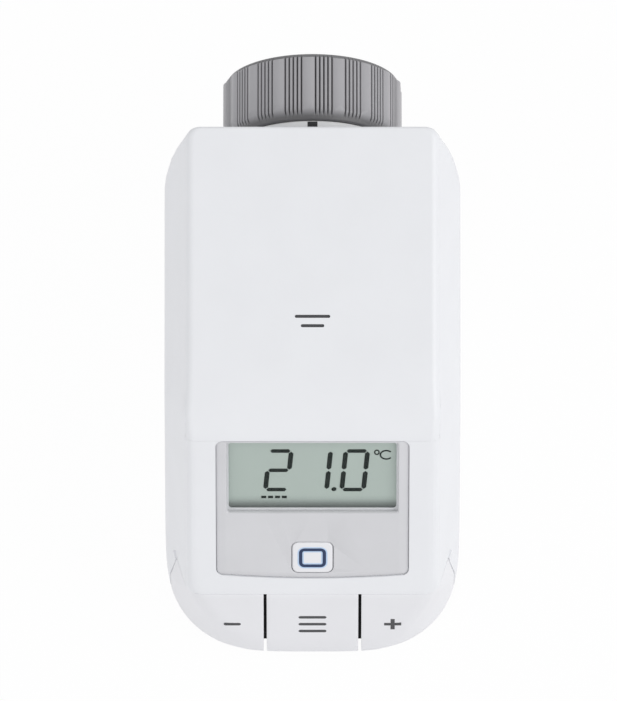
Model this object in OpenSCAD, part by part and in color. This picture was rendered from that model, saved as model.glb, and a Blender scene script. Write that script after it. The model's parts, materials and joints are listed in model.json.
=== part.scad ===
// Electronic radiator thermostat head: a battery-powered actuator that screws onto a radiator valve.
// Frame: origin at the centre of the union nut's mouth, +Y towards the valve, display end towards -Y,
// +Z up, X across. Millimetres.

/* [Body] */
// Width over the side faces
body_w = 57; // [52:0.5:66]
// Height from the flat base to the rear edge of the deck
body_h = 68; // [64:0.5:80]
// Length from the nut's mouth to the ends of the keys
body_l = 102; // [98:0.5:118]
// Height of the valve axis above the base
axis_h = 43.5; // [42:0.5:50]
// Fall of the deck towards the display, in degrees
deck_slope = 15.2; // [12:0.2:17]
// Length of the display face from the bend to the keys
face_l = 36; // [35.5:0.1:39]
// Length of the keys down their slope
key_l = 17.8; // [17:0.1:21]
// Fall of the display face, in degrees
display_slope = 53.9; // [50:0.2:58]
// Fall of the keys, in degrees
key_slope = 71.7; // [68:0.2:76]
// Wall thickness of the housing
wall = 2; // [1.6:0.1:2.4]
// Half width of the flat top at the deck and the display
top_half_w = 23.9; // [22:0.1:26]
// Lean of the side faces below the top edge, in degrees
side_draft = 15; // [10:1:18]
// Radius of the rear corners in plan
rear_corner_r = 6; // [4:0.5:9]

/* [Covers] */
// Thickness of the battery cover
cover_t = 1.5; // [1.2:0.1:1.8]
// Gap between the battery cover and the shells it meets
seam = 0.1; // [0.08:0.01:0.3]
// Thickness of the front cover
front_t = 2; // [1.8:0.1:2.4]
// Thickness of the display bezel and its window
bezel_t = 1; // [0.8:0.1:1.2]
// Half width of the display bezel
bezel_half_w = 18.5; // [17.5:0.1:19.5]
// Length of the display bezel down the display face
bezel_l = 31.3; // [30:0.1:32]
// Half width of the display window
window_half_w = 16.4; // [15:0.1:17]
// Length of the display window down the display face
window_l = 16.6; // [15:0.1:18]

/* [Keys] */
// Thickness of the key plates
key_t = 1.6; // [1.3:0.1:2]
// Distance of the two slits between the keys from the centre
slit_x = 9.15; // [8:0.05:10.5]
// Width of the slits between the keys
slit_w = 0.6; // [0.4:0.1:1]
// How far a key turns when it is pressed, in degrees
key_turn = 1.8; // [1:0.1:2]
// Radius of the key hinge pins
key_pin_r = 0.6; // [0.5:0.05:0.7]
// Half width of the round-cornered system button
button_half_w = 3.9; // [3.4:0.1:4.4]
// Length of the system button down the display face
button_l = 7; // [6:0.1:7.6]
// Travel of the system button
button_travel = 0.4; // [0.3:0.05:0.5]

/* [Union nut] */
// Radius of the nut over its grip lobes
nut_r = 17.4; // [16.9:0.1:18.6]
// Length of the nut
nut_l = 13.5; // [12.5:0.1:16]
// Gap between the nut and the housing
nut_gap = 3.9; // [3.5:0.1:5]
// Minor radius of the M30 x 1.5 thread
thread_r = 14.188; // [14.1:0.001:14.3]
// Length of the thread
thread_l = 8.4; // [8:0.1:9]
// Number of grip lobes
lobe_count = 18; // [12:1:24]
// Outer radius of the snap collar's tube
collar_r = 12.6; // [12.2:0.1:12.8]
// Inner radius of the snap collar's tube
collar_bore_r = 10.8; // [10.4:0.1:11.2]
// Number of slots between the snap fingers
finger_count = 6; // [4:1:8]

/* [Drive] */
// Module of all the gears
gear_m = 0.5; // [0.48:0.01:0.52]
// Teeth of every pinion
pinion_n = 10; // [10:1:11]
// Teeth of the wheels of gears A and B
wheel_n = 40; // [36:1:41]
// Teeth of the wheel of gear C
wheel_c_n = 30; // [28:1:30]
// Teeth of the spindle gear
spindle_n = 36; // [34:1:37]
// Height of each gear's teeth along its axis
face_w = 2; // [1.6:0.1:2.2]
// Radius of the threaded rod of the plunger
rod_r = 3; // [2.5:0.05:3.1]
// Stroke of the plunger
stroke = 4.3; // [3.8:0.1:4.5]
// Radius of the gear axles
axle_r = 0.75; // [0.6:0.05:0.8]
// Radius of the motor
motor_r = 6; // [5.5:0.1:6.2]
// Length of the motor's can
motor_l = 20; // [18:0.5:22]

/* [Batteries] */
// Radius of one AA cell
cell_r = 7.1; // [6.8:0.05:7.2]
// Length of one AA cell over its stud
cell_l = 50; // [49:0.1:50.5]
// Distance of each cell's axis from the centre plane
cell_x = 15.2; // [14.8:0.1:15.4]

/* [Hidden] */
$fn = 48;
fit = 0.05;        // running clearance of shafts and pins
gap = 0.3;         // clearance between pieces that only pass each other
bend_deck_l = 12.6; // from the start of the bend to the corner it rounds
bend_face_l = 5.3;  // from that corner to the top of the display
past = 1;          // how far a cut runs past the surface it opens

rear_y = -(nut_l + nut_gap);
top_z = body_h - axis_h;
base_z = -axis_h;
function fall(a) = [-cos(a), -sin(a)];
function inward(d) = [-d[1], d[0]];
deck_dir = fall(deck_slope);
face_dir = fall(display_slope);
key_dir = fall(key_slope);
face_in = inward(face_dir);
key_in = inward(key_dir);
deck_l = (body_l + rear_y - (bend_face_l + face_l) * cos(display_slope) - key_l * cos(key_slope))
    / cos(deck_slope) - bend_deck_l;
rear_top = [rear_y, top_z];
bend_start = rear_top + deck_l * deck_dir;
bend_corner = rear_top + (deck_l + bend_deck_l) * deck_dir;
panel_top = bend_corner + bend_face_l * face_dir;
crease = panel_top + face_l * face_dir;
chin = crease + key_l * key_dir;
ramp = axis_h - top_z;             // the 45 degree ramp under the rear wall
front_tip = -body_l - 0.4;         // where the plan outline ends
front_depth = 24.4;                // length of the rounded front in plan
front_power = 3;                   // squareness of the rounded front
key_back_y = chin[0] + 14.2;       // how far the keys wrap round the sides
nose_inset = 4.2;                  // housing below the keys' outer surface
nose_y = chin[0] + 7.4;            // front wall of the housing

cell_depth = cell_r + 3.66;        // depth of the cells' axes below the deck
cell_u = 7.4;                      // cells' rear ends, measured down the deck
stud_l = 1;
tray_t = 1.2;

collar_end = -thread_l - 0.2;      // the collar's face that the valve's neck meets
lip_r = collar_r + gap;            // the nut's inner lip, which the collar holds
flange_r = thread_r - 0.3;
flange_t = 2;
slot_w = 1.9;                      // width of the slots between the snap fingers
lip_l = 2.2;

layer_1 = rear_y - wall - 4.6;     // spindle gear with the pinion of gear C
layer_2 = layer_1 - 4.6;           // wheel of gear C with the pinion of gear B
layer_3 = layer_2 - 3;             // wheel of gear B with the pinion of gear A
layer_4 = layer_3 - 3;             // wheel of gear A with the motor pinion
spindle_w = 3;                     // height of the spindle gear
rear_plate = [rear_y - wall - 1.8, rear_y - wall - 3.4];
bridge_plate = [layer_1 - spindle_w - 0.4, layer_1 - spindle_w - 1.4];
front_plate = [layer_4 - face_w - 1, layer_4 - face_w - 2.4];
function pitch_r(n) = n * gear_m / 2;
function polar(r, a) = [r * cos(a), r * sin(a)];
angle_sc = -90;                    // from the spindle to gear C
angle_cb = 196;                    // from gear C to gear B
angle_ba = -19;                    // from gear B to gear A
angle_am = -5;                     // from gear A to the motor
spindle_at = [0, 0];
gear_c_at = polar(pitch_r(spindle_n + pinion_n), angle_sc);
gear_b_at = gear_c_at + polar(pitch_r(wheel_c_n + pinion_n), angle_cb);
gear_a_at = gear_b_at + polar(pitch_r(wheel_n + pinion_n), angle_ba);
motor_at = gear_a_at + polar(pitch_r(wheel_n + pinion_n), angle_am);
// a tooth of the second gear falls in a gap of the first
function meshed(phase, n, n2, a) = a + 180 + 360 / n2 * (1 / 2 - (phase - a) * n / 360);
phase_s = 0;
phase_c_pinion = meshed(phase_s, spindle_n, pinion_n, angle_sc);
phase_c_wheel = 0;
phase_b_pinion = meshed(phase_c_wheel, wheel_c_n, pinion_n, angle_cb);
phase_b_wheel = 0;
phase_a_pinion = meshed(phase_b_wheel, wheel_n, pinion_n, angle_ba);
phase_a_wheel = 0;
phase_motor = meshed(phase_a_wheel, wheel_n, pinion_n, angle_am);
posts = [[-21.5, -6], [-21, -21.5], [21.5, -8], [21.5, -23]];
post_r = 1.8;
bridge_posts = [[-12, -5], [12, -5]];

pcb_depth = 4.6;
pcb_t = 1.2;
pcb_half_w = 19.8;
pcb_span = [3.2, 31];
lcd_depth = bezel_t + 0.2;
lcd_t = 1.6;

// ---- frames and helpers ----
module deck_frame() translate([0, rear_y, top_z]) rotate([deck_slope, 0, 0]) children();
module face_frame() translate([0, panel_top[0], panel_top[1]]) rotate([display_slope, 0, 0])
    children();
// a profile in (y, z), carried across the width
module across(w, x0 = undef) translate([is_undef(x0) ? -w / 2 : x0, 0, 0]) rotate([90, 0, 90])
    linear_extrude(w) children();
// a profile in (x, z), carried from y0 towards -Y to y1
module along(y0, y1) translate([0, y0, 0]) rotate([90, 0, 0]) linear_extrude(y0 - y1) children();
module rod(r, y0, y1, at = [0, 0]) translate([at[0], y0, at[1]]) rotate([90, 0, 0])
    cylinder(r = r, h = y0 - y1);
module pin_across(r, x0, x1, at) translate([x0, at[0], at[1]]) rotate([0, 90, 0])
    cylinder(r = r, h = x1 - x0);
// a block in a sloping frame: x centre and half width, span down the slope, depth range
module slab(x, half_w, span, depth) translate([x - half_w, -span[1], -depth[1]])
    cube([2 * half_w, span[1] - span[0], depth[1] - depth[0]]);
// a post square to a sloping face: place across and down the slope, radius, depth range
module peg(x, s, r, depth) translate([x, -s, -depth[1]]) cylinder(r = r, h = depth[1] - depth[0]);
module inset_by(d) if (d == 0) children(); else offset(delta = -d) children();

// ---- outer form ----
function bend_pt(t) = (1 - t) * (1 - t) * bend_start + 2 * t * (1 - t) * bend_corner
    + t * t * panel_top;
function bend_dir(t) = let (v = (1 - t) * (bend_corner - bend_start) + t * (panel_top - bend_corner))
    v / norm(v);
function top_path(d) = concat([[rear_y, top_z - d / cos(deck_slope)]],
    [for (t = [0:0.125:1]) bend_pt(t) + d * inward(bend_dir(t))]);
function reversed(list) = [for (i = [len(list) - 1:-1:0]) list[i]];
module side_outline() polygon(concat(top_path(0), [crease, chin, chin + [1.4, -1.6],
    [chin[0] + 6, base_z], [rear_y - ramp, base_z], [rear_y, base_z + ramp]]));
function half_outline() = concat(
    [for (a = [90:-22.5:0]) [body_w / 2 - rear_corner_r + rear_corner_r * cos(a),
        rear_y - rear_corner_r + rear_corner_r * sin(a)]],
    [for (t = [0:7.5:90]) [body_w / 2 * pow(cos(t), 2 / front_power),
        front_tip + front_depth - front_depth * pow(sin(t), 2 / front_power)]]);
module plan_outline() let (h = half_outline())
    polygon(concat(h, [for (p = reversed(h)) if (p[0] > 0.01) [-p[0], p[1]]]));
// keeps what lies inside the two leaning side faces below a sloping face
module side_faces(d) let (w = top_half_w - d / cos(side_draft), low = 90, high = 3)
    translate([0, body_l, 0]) rotate([90, 0, 0]) linear_extrude(3 * body_l)
        polygon([[w - high * tan(side_draft), high], [w + low * tan(side_draft), -low],
            [-w - low * tan(side_draft), -low], [-w + high * tan(side_draft), high]]);
module outer_sides(d) intersection() {
    translate([0, 0, base_z - 1]) linear_extrude(body_h + 2) inset_by(d) plan_outline();
    deck_frame() side_faces(d);
    face_frame() side_faces(d);
}
module outer_form(d) intersection() {
    across(body_w + 2) inset_by(d) side_outline();
    outer_sides(d);
}
// everything above the path at depth d, down to the line where the display begins
module above_deck(d) across(body_w + 4) polygon(concat(top_path(d), [
    panel_top + 8 * -face_in, [rear_y - 10, top_z + 20], [rear_y + 5, top_z + 20],
    [rear_y + 5, top_z - d / cos(deck_slope)]]));
module front_zone(d) across(body_w + 4) polygon([panel_top - 0.5 * face_dir,
    panel_top + d * face_in - 0.5 * face_dir,
    crease + d * face_in, crease, crease - 9 * face_in, panel_top - 9 * face_in]);
module key_zone(grow = 0) across(body_w + 4) inset_by(-grow) polygon([crease - 12 * key_in, crease,
    crease + 6 * key_in, [key_back_y, (crease + 6 * key_in)[1]], [key_back_y, base_z - 9],
    [front_tip - 5, base_z - 9]]);
// what the keys fill of it: they swing back and lift at the back when they are pressed
key_swing = 0.95;
key_lift = 0.4;
module key_room() let (top = (crease + 6 * key_in)[1]) across(body_w + 4) polygon([
    crease - 12 * key_in, crease, crease + 6 * key_in - [0, key_lift / 2],
    [key_back_y - key_lift / 2, top - key_lift], [key_back_y - key_swing, base_z - 9],
    [front_tip - 5, base_z - 9]]);

// ---- union nut and collar ----
lobe_half = 4.2;                   // half angle of a grip lobe
valley_r = nut_r - 0.5;
rim_r = nut_r - 0.8;
module nut_outline() polygon([for (i = [0:lobe_count - 1], p = [[-lobe_half, nut_r],
    [0, nut_r + 0.02], [lobe_half, nut_r], [lobe_half + 1, valley_r],
    [180 / lobe_count, valley_r], [360 / lobe_count - lobe_half - 1, valley_r]])
    polar(p[1], i * 360 / lobe_count + p[0])]);
module union_nut() color("#b4b5b8") difference() {
    union() {
        along(-1.1, -nut_l + 1.4) nut_outline();
        rod(rim_r, 0, -nut_l);
    }
    rod(thread_r, 1, -thread_l);
    rod(thread_r + 0.4, -thread_l + 0.001, -nut_l + lip_l);
    rod(lip_r, -nut_l + lip_l + 0.1, -nut_l - 1);
}
bayonet_at = [-90, -30, 210];      // where the collar's lugs lock behind the rear wall
module at_bayonets() for (a = bayonet_at) rotate([0, -a, 0]) children();
module valve_collar() color("#f2f2f2") difference() {
    union() {
        rod(collar_r, collar_end, rear_y - wall);
        rod(flange_r, collar_end, collar_end - flange_t);
        at_bayonets() translate([collar_r - 0.5, rear_y - wall - 1.4, -2]) cube([1.9, 1.35, 4]);
        intersection() {
            rod(collar_r, rear_y - wall + 0.5, rear_y - wall - 1.4);
            at_bayonets() translate([0, rear_y - wall - 1.4, -2]) cube([collar_r, 2, 4]);
        }
    }
    rod(collar_bore_r, collar_end + 1, rear_y - wall - 2);
    for (i = [0:finger_count - 1]) rotate([0, i * 360 / finger_count, 0])
        translate([-slot_w / 2, rear_y + 1, 0]) cube([slot_w, collar_end - rear_y, flange_r + 1]);
}

// ---- housing and covers ----
lug_w = 2;
hinge_out_x = 20;
hinge_at = crease + 2.9 * key_in + 1.7 * key_dir;
case_screw_at = [[-22, key_back_y + 7], [22, key_back_y + 7]];
leg_r = 1.7;
boss_h = 5;                        // height of the screw bosses over the base
grip_u = deck_l - 7.3;             // where the grip marks start, down the deck
button_s = [23.7, 23.7 + button_l];
cover_rail_x = 21.2;               // inner face of the cover's rails
rail_w = 0.8;
rail_depth = 3;
tongue_w = 0.8;
tongue = [2.3, rail_depth];
module rail_grooves() deck_frame() for (s = [-1, 1])
    slab(s * (cover_rail_x + (rail_w + tongue_w) / 2), (rail_w + tongue_w) / 2 + 0.2,
        [3, deck_l + 30], [tongue[0] - 0.15, tongue[1] + 0.2]);
module rail_ways() deck_frame() for (s = [-1, 1])
    slab(s * (cover_rail_x + rail_w / 2), rail_w / 2 + 0.2, [3, deck_l + 30],
        [cover_t - 0.5, tongue[1] + 0.2]);
module hinge_lugs() for (x = [-hinge_out_x, -slit_x, slit_x, hinge_out_x])
    across(lug_w, x - lug_w / 2) polygon([hinge_at + 1 * -key_in + 1.3 * -key_dir,
        hinge_at + 1 * -key_in + 1.1 * key_dir, hinge_at + 2.4 * key_in + 1.1 * key_dir,
        hinge_at + 2.4 * key_in + 1.3 * -key_dir]);
// the part of the housing behind the keys
module nose(d) let (top = crease + (nose_inset + d) * key_in,
    knee = top + (top[0] - nose_y - d) / cos(key_slope) * key_dir, back = key_back_y + 5)
    intersection() {
        across(body_w) polygon([top, knee, [nose_y + d, base_z + d], [back, base_z + d],
            [back, top[1]]]);
        translate([0, 0, base_z - 1]) linear_extrude(body_h) inset_by(nose_inset + d) plan_outline();
        face_frame() side_faces(key_t + gap + d);
    }
// ribs that carry the battery tray
module tray_saddles() intersection() {
    deck_frame() for (s = [-1, 1], u = [cell_u + 8, cell_u + cell_l - 14]) difference() {
        slab(s * (cell_x + 7), 6, [u, u + 1.6], [cell_depth + 2, cell_depth + 9]);
        translate([s * cell_x, 0, -cell_depth]) rotate([90, 0, 0])
            cylinder(r = cell_r + 0.2 + tray_t + fit, h = body_l);
    }
    outer_form(wall / 2);
}
module lower_housing() color("#eceef0") difference() {
    union() {
        difference() {
            union() {
                difference() {
                    outer_form(0);
                    key_zone();
                }
                nose(0);
            }
            difference() {
                outer_form(wall);
                key_zone(wall);
            }
            // the housing is open under the battery cover and the front cover
            intersection() {
                union() {
                    above_deck(wall + past);
                    front_zone(wall + past);
                }
                outer_sides(wall);
            }
            nose(wall);
        }
        hinge_lugs();
        tray_saddles();
        for (p = case_screw_at) translate([p[0], p[1], base_z + 1]) cylinder(r = 3.2, h = boss_h - 1);
    }
    above_deck(cover_t + seam);
    front_zone(front_t);
    rail_grooves();
    rail_ways();
    rod(collar_r + fit, rear_y + 1, rear_y - wall - 1);
    for (x = [-slit_x - lug_w, slit_x - lug_w]) pin_across(key_pin_r + fit, x, x + 2 * lug_w, hinge_at);
    for (s = [-1, 1]) pin_across(key_pin_r + fit, s * hinge_out_x - lug_w, s * hinge_out_x + lug_w,
        hinge_at);
    for (p = case_screw_at) translate([p[0], p[1], base_z - 1]) {
        cylinder(r = 1.3, h = boss_h + 2);
        cylinder(r = 2.6, h = 3.2);
        translate([0, 0, boss_h + 1]) cylinder(r = leg_r + 0.15, h = body_h);
    }
}
module battery_cover() color("#e9ecf1") difference() {
    union() {
        intersection() {
            outer_form(0);
            across(body_w + 4) polygon(concat(top_path(0), reversed(top_path(cover_t))));
        }
        deck_frame() for (s = [-1, 1]) {
            slab(s * (cover_rail_x + rail_w / 2), rail_w / 2, [6, deck_l - 2],
                [cover_t - 0.3, rail_depth]);
            slab(s * (cover_rail_x + rail_w + tongue_w / 2 - 0.05), tongue_w / 2 + 0.05,
                [6, deck_l - 2], tongue);
        }
    }
    deck_frame() {
        slab(0, 3.4, [grip_u, grip_u + 0.6], [-1, 0.5]);
        slab(0, 2.25, [grip_u + 1.8, grip_u + 2.4], [-1, 0.5]);
    }
    // the seam that parts it from the front cover
    face_frame() slab(0, body_w, [-seam, past], [-2, cover_t + past]);
}
module front_cover() color("#e6e7ea") difference() {
    union() {
        intersection() {
            outer_form(0);
            across(body_w + 4) polygon([panel_top, panel_top + front_t * face_in,
                crease + front_t * face_in, crease]);
        }
        // legs for the case screws
        intersection() {
            for (p = case_screw_at) translate([p[0], p[1], base_z + boss_h])
                cylinder(r = leg_r, h = body_h);
            outer_form(front_t / 2);
        }
    }
    key_zone(0.15);
    for (p = case_screw_at) translate([p[0], p[1], base_z]) cylinder(r = 1.15, h = boss_h + 8);
    face_frame() {
        slab(0, bezel_half_w, [-1, bezel_l], [-1, bezel_t]);
        slab(0, window_half_w, [1, window_l], [0, front_t + 1]);
        slab(0, button_half_w - 0.6, [button_s[0] + 0.6, button_s[1] - 0.6], [0, front_t + 1]);
    }
}
module rounded_slab(half_w, span, depth, r) translate([0, -(span[0] + span[1]) / 2, -depth[1]])
    linear_extrude(depth[1] - depth[0]) offset(r = r) square([2 * (half_w - r),
        span[1] - span[0] - 2 * r], center = true);
module display_bezel() color("#d2d2d4") face_frame() difference() {
    rounded_slab(bezel_half_w - 0.05, [0.05, bezel_l - 0.05], [0, bezel_t], 0.9);
    slab(0, window_half_w, [0.5, window_l], [-1, bezel_t + 1]);
    rounded_slab(button_half_w + 0.15, [button_s[0] - 0.15, button_s[1] + 0.15],
        [-1, bezel_t + 1], 1);
}
module display_window() color("#aeb8b2") face_frame()
    slab(0, window_half_w - 0.05, [0.55, window_l - 0.05], [0.1, bezel_t]);

// ---- keys and button ----
module key_shell(x0, x1) intersection() {
    difference() {
        outer_form(0);
        outer_form(key_t);
    }
    key_room();
    translate([x0, front_tip - 1, chin[1] - 0.6]) cube([x1 - x0, 60, body_h]);
}
module key_hinge(x0, x1) {
    pin_across(0.9, x0 + lug_w / 2 + 0.1, x1 - lug_w / 2 - 0.1, hinge_at);
    pin_across(key_pin_r, x0 + 0.15, x1 - 0.15, hinge_at);
    across(x1 - x0 - lug_w - 1.2, x0 + lug_w / 2 + 0.6) polygon([hinge_at + 0.5 * key_dir,
        hinge_at - 0.5 * key_dir, hinge_at - 0.5 * key_dir - 1.6 * key_in,
        hinge_at + 0.5 * key_dir - 1.6 * key_in]);
}
switch_z = base_z + 6.5;
switch_x = 15.5;
switch_tip = nose_y - 2.05;        // front end of the switches' plungers
// a key closes this gap when it turns through key_turn
nub_gap = (hinge_at[1] - switch_z) * sin(key_turn) + 0.1;
module key_nub(x) rod(1.2, switch_tip - nub_gap, chin[0] + 2.4, [x, switch_z]);
mark_x = 15.5;                     // the minus and plus marks: place, reach and depth
mark_s = 8.9;
mark_half = 1.7;
mark_depth = 0.3;
module key_mark() translate([0, crease[0], crease[1]]) rotate([key_slope, 0, 0]) children();
module minus_key() color("#e6e7e9") difference() {
    union() {
        key_shell(-body_w, -slit_x - slit_w / 2);
        key_hinge(-hinge_out_x, -slit_x);
        key_nub(-switch_x);
    }
    key_mark() slab(-mark_x, mark_half, [mark_s - 0.2, mark_s + 0.2], [-1, mark_depth]);
}
module menu_key() color("#e6e7e9") union() {
    key_shell(-slit_x + slit_w / 2, slit_x - slit_w / 2);
    key_hinge(-slit_x, slit_x);
    key_nub(0);
}
module plus_key() color("#e6e7e9") difference() {
    union() {
        key_shell(slit_x + slit_w / 2, body_w);
        key_hinge(slit_x, hinge_out_x);
        key_nub(switch_x);
    }
    key_mark() {
        slab(mark_x, mark_half, [mark_s - 0.2, mark_s + 0.2], [-1, mark_depth]);
        slab(mark_x, 0.2, [mark_s - mark_half, mark_s + mark_half], [-1, mark_depth]);
    }
}
module system_button() color("#f4f4f6") face_frame() difference() {
    union() {
        rounded_slab(button_half_w, button_s, [0, bezel_t - button_travel - 0.1], 0.9);
        slab(0, button_half_w - 0.8, [button_s[0] + 0.8, button_s[1] - 0.8], [0, front_t + 0.3]);
    }
    translate([0, -(button_s[0] + button_s[1]) / 2, -0.5]) difference() {
        cylinder(r = 2.6, h = 2);
        translate([0, 0, -1]) cylinder(r = 1.9, h = 4);
    }
}
module button_light_ring() color("#2a3c66") face_frame()
    translate([0, -(button_s[0] + button_s[1]) / 2, -0.5]) difference() {
        cylinder(r = 2.6, h = 0.45);
        translate([0, 0, -1]) cylinder(r = 1.9, h = 4);
    }

// ---- display and boards ----
module lcd_glass() color("#9aa59f") face_frame()
    slab(0, window_half_w - 0.2, [1.2, window_l - 0.2], [lcd_depth, lcd_depth + lcd_t]);
module lcd_reflector() color("#e8e8e4") face_frame()
    slab(0, window_half_w - 1.4, [1.6, window_l + 0.2], [lcd_depth + lcd_t, lcd_depth + lcd_t + 0.9]);
module zebra_strips() color("#3a3a3c") face_frame() for (s = [-1, 1])
    slab(s * (window_half_w - 0.8), 0.5, [3.4, window_l - 0.4], [lcd_depth + lcd_t, pcb_depth]);
module main_board() color("#1f6b45") face_frame() difference() {
    slab(0, pcb_half_w, pcb_span, [pcb_depth, pcb_depth + pcb_t]);
    for (x = [-17.8, 17.8]) peg(x, 29, 1.1, [pcb_depth - 1, pcb_depth + pcb_t + 1]);
}
pcb_back = pcb_depth + pcb_t;
module controller_chip() color("#232325") face_frame()
    slab(-8, 3.5, [16, 23], [pcb_back, pcb_back + 1.2]);
module radio_module() color("#b9bcc0") face_frame()
    slab(9, 6, [13, 23], [pcb_back, pcb_back + 2.4]);
module antenna_coil() color("#b87333") face_frame() translate([17.6, -18, -pcb_back]) mirror([0, 0, 1])
    difference() {
        cylinder(r = 2, h = 9);
        translate([0, 0, 0.6]) cylinder(r = 1.4, h = 9);
    }
module buffer_capacitor() color("#27304a") face_frame() peg(-17, 18, 3.1, [pcb_back, pcb_back + 8]);
module button_switch() color("#2b2b2d") face_frame() union() {
    slab(0, 2.2, [button_s[0] + 1.3, button_s[1] - 1.3], [pcb_depth - 1.2, pcb_depth]);
    peg(0, (button_s[0] + button_s[1]) / 2, 1, [front_t + 0.3 + button_travel + 0.2, pcb_depth - 1]);
}
module key_board() color("#1f6b45") translate([-19, nose_y - 0.8, switch_z - 3.4])
    cube([38, 0.8, 6.8]);
module key_switches() color("#2b2b2d") for (x = [-switch_x, 0, switch_x]) union() {
    translate([x - 2.2, nose_y - 1.6, switch_z - 2.2]) cube([4.4, 0.8, 4.4]);
    rod(1, nose_y - 1.5, switch_tip, [x, switch_z]);
}
module temperature_sensor() color("#3a2f2a") face_frame() union() {
    translate([16, -28, -pcb_back - 1.2]) sphere(r = 1.2);
    peg(16, 28, 0.35, [pcb_back, pcb_back + 1]);
}

// ---- batteries ----
module tray_outline() difference() {
    union() {
        for (s = [-1, 1]) translate([s * cell_x, -cell_depth]) circle(r = cell_r + 0.2 + tray_t);
        translate([-cell_x, -cell_depth - tray_t]) square([2 * cell_x, tray_t]);
    }
    for (s = [-1, 1]) translate([s * cell_x, -cell_depth]) circle(r = cell_r + 0.2);
    translate([-body_w, -cell_depth]) square([2 * body_w, 40]);
}
cell_end = cell_u + cell_l;
module battery_tray() color("#d9dbdd") union() {
    intersection() {
        deck_frame() union() {
            rotate([90, 0, 0]) linear_extrude(cell_end) tray_outline();
            intersection() {
                rotate([90, 0, 0]) linear_extrude(cell_end + 1.2) tray_outline();
                slab(0, body_w, [cell_end - 1, cell_end + 2], [cell_depth + 3, cell_depth + 20]);
            }
        }
        translate([-body_w, -body_l, -body_h])
            cube([2 * body_w, body_l + rear_y - wall - 0.6, 2 * body_h]);
    }
    deck_frame() slab(0, cell_x + 6, [cell_end + 0.4, cell_end + 1.2],
        [cell_depth - 2, cell_depth + 5]);
}
module cell(stud_front) union() {
    rotate([90, 0, 0]) cylinder(r = cell_r, h = cell_l - stud_l);
    translate([0, stud_front ? -(cell_l - stud_l) : stud_l, 0]) rotate([90, 0, 0])
        cylinder(r = 2.7, h = stud_l);
}
module battery_cell_left() color("#55595e") deck_frame()
    translate([-cell_x, -cell_u, -cell_depth]) cell(true);
module battery_cell_right() color("#55595e") deck_frame()
    translate([cell_x, -cell_u - stud_l, -cell_depth]) cell(false);
module rear_contacts() color("#c9b98a") deck_frame() for (s = [-1, 1]) union() {
    slab(s * cell_x, 3.6, [cell_u - 1.6, cell_u - 1.2], [cell_depth - 4.2, cell_depth + 1.2]);
    translate([s * cell_x, -cell_u + 1.2, -cell_depth + 1]) rotate([90, 0, 0])
        cylinder(r1 = 2.4, r2 = 1.5, h = 1.2);
}
module front_contact() color("#c9b98a") deck_frame()
    slab(0, cell_x + 4, [cell_end, cell_end + 0.4], [cell_depth - 1.8, cell_depth + 2.8]);

// ---- gear train ----
pressure = 25;
backlash = 0.16;
addendum = 0.8 * gear_m;
dedendum = 1.05 * gear_m;
function involute(base_r, r) = let (t = sqrt(max(r * r / (base_r * base_r) - 1, 0)))
    t * 180 / PI - atan(t);
// one tooth's right flank, as [radius, angle from the tooth's centre], from root to tip
function flank(n) = let (p = pitch_r(n), b = p * cos(pressure), root = p - dedendum,
        tip = p + addendum, low = max(b, root + 0.02),
        half = 90 / n - backlash / 4 / p * 180 / PI + involute(b, p))
    concat([[root, half - involute(b, low)]],
        [for (k = [0:3]) let (r = low + (tip - low) * k / 3) [r, half - involute(b, r)]]);
module gear_outline(n, phase) let (f = flank(n)) polygon([for (i = [0:n - 1],
    q = concat([for (p = f) [p[0], -p[1]]], reversed(f))) polar(q[0], phase + i * 360 / n + q[1])]);
module toothed(n, phase, at, y0, y1) translate([at[0], 0, at[1]]) along(y0, y1)
    gear_outline(n, phase);
module compound(at, wheel, wheel_phase, wheel_y, pinion_phase, pinion_y, pinion_w, bore)
    difference() {
        union() {
            toothed(wheel, wheel_phase, at, wheel_y, wheel_y - face_w);
            toothed(pinion_n, pinion_phase, at, pinion_y, pinion_y - pinion_w);
        }
        rod(bore, pinion_y + 1, wheel_y - face_w - 1, at);
    }
module gear_a() color("#f0e6d0") compound(gear_a_at, wheel_n, phase_a_wheel, layer_4,
    phase_a_pinion, layer_3, layer_3 - layer_4, axle_r + fit);
module gear_b() color("#e8dcc4") compound(gear_b_at, wheel_n, phase_b_wheel, layer_3,
    phase_b_pinion, layer_2, layer_2 - layer_3, axle_r + fit);
module gear_c() color("#f0e6d0") compound(gear_c_at, wheel_c_n, phase_c_wheel, layer_2,
    phase_c_pinion, layer_1, layer_1 - layer_2, axle_r + fit);
module spindle_gear() color("#e8dcc4") difference() {
    union() {
        toothed(spindle_n, phase_s, spindle_at, layer_1, layer_1 - spindle_w);
        rod(5, rear_plate[0] + 2, layer_1);
    }
    rod(rod_r + fit, rear_plate[0] + 3, layer_1 - spindle_w - 1);
}
module thrust_washer() color("#c8ccd2") difference() {
    rod(5, layer_1 - spindle_w, bridge_plate[0]);
    rod(rod_r + gap, layer_1 - spindle_w + 1, bridge_plate[0] - 1);
}
plunger_tip = collar_end - 3.2;
head_t = 2.4;
key_reach = collar_bore_r + 0.8;   // the plunger's two arms run in slots of the collar
module plunger() color("#e4e4e2") union() {
    rod(rod_r, plunger_tip - 2, bridge_plate[1] - stroke - 1.7);
    rod(6, plunger_tip, plunger_tip - head_t);
    for (slot = [2, 4]) rotate([0, slot * 360 / finger_count, 0])
        translate([0.1 - slot_w / 2, plunger_tip - head_t - 0.8, 0])
            cube([slot_w - 0.2, head_t - 0.4, key_reach]);
}
module gear_axles() color("#c8ccd2") union() {
    rod(axle_r, rear_plate[0] - 0.2, layer_2 - face_w - 0.2, gear_c_at);
    rod(axle_r, rear_plate[0] - 0.2, front_plate[1] + 0.2, gear_b_at);
    rod(axle_r, layer_3 + 0.2, front_plate[1] + 0.2, gear_a_at);
}
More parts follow.
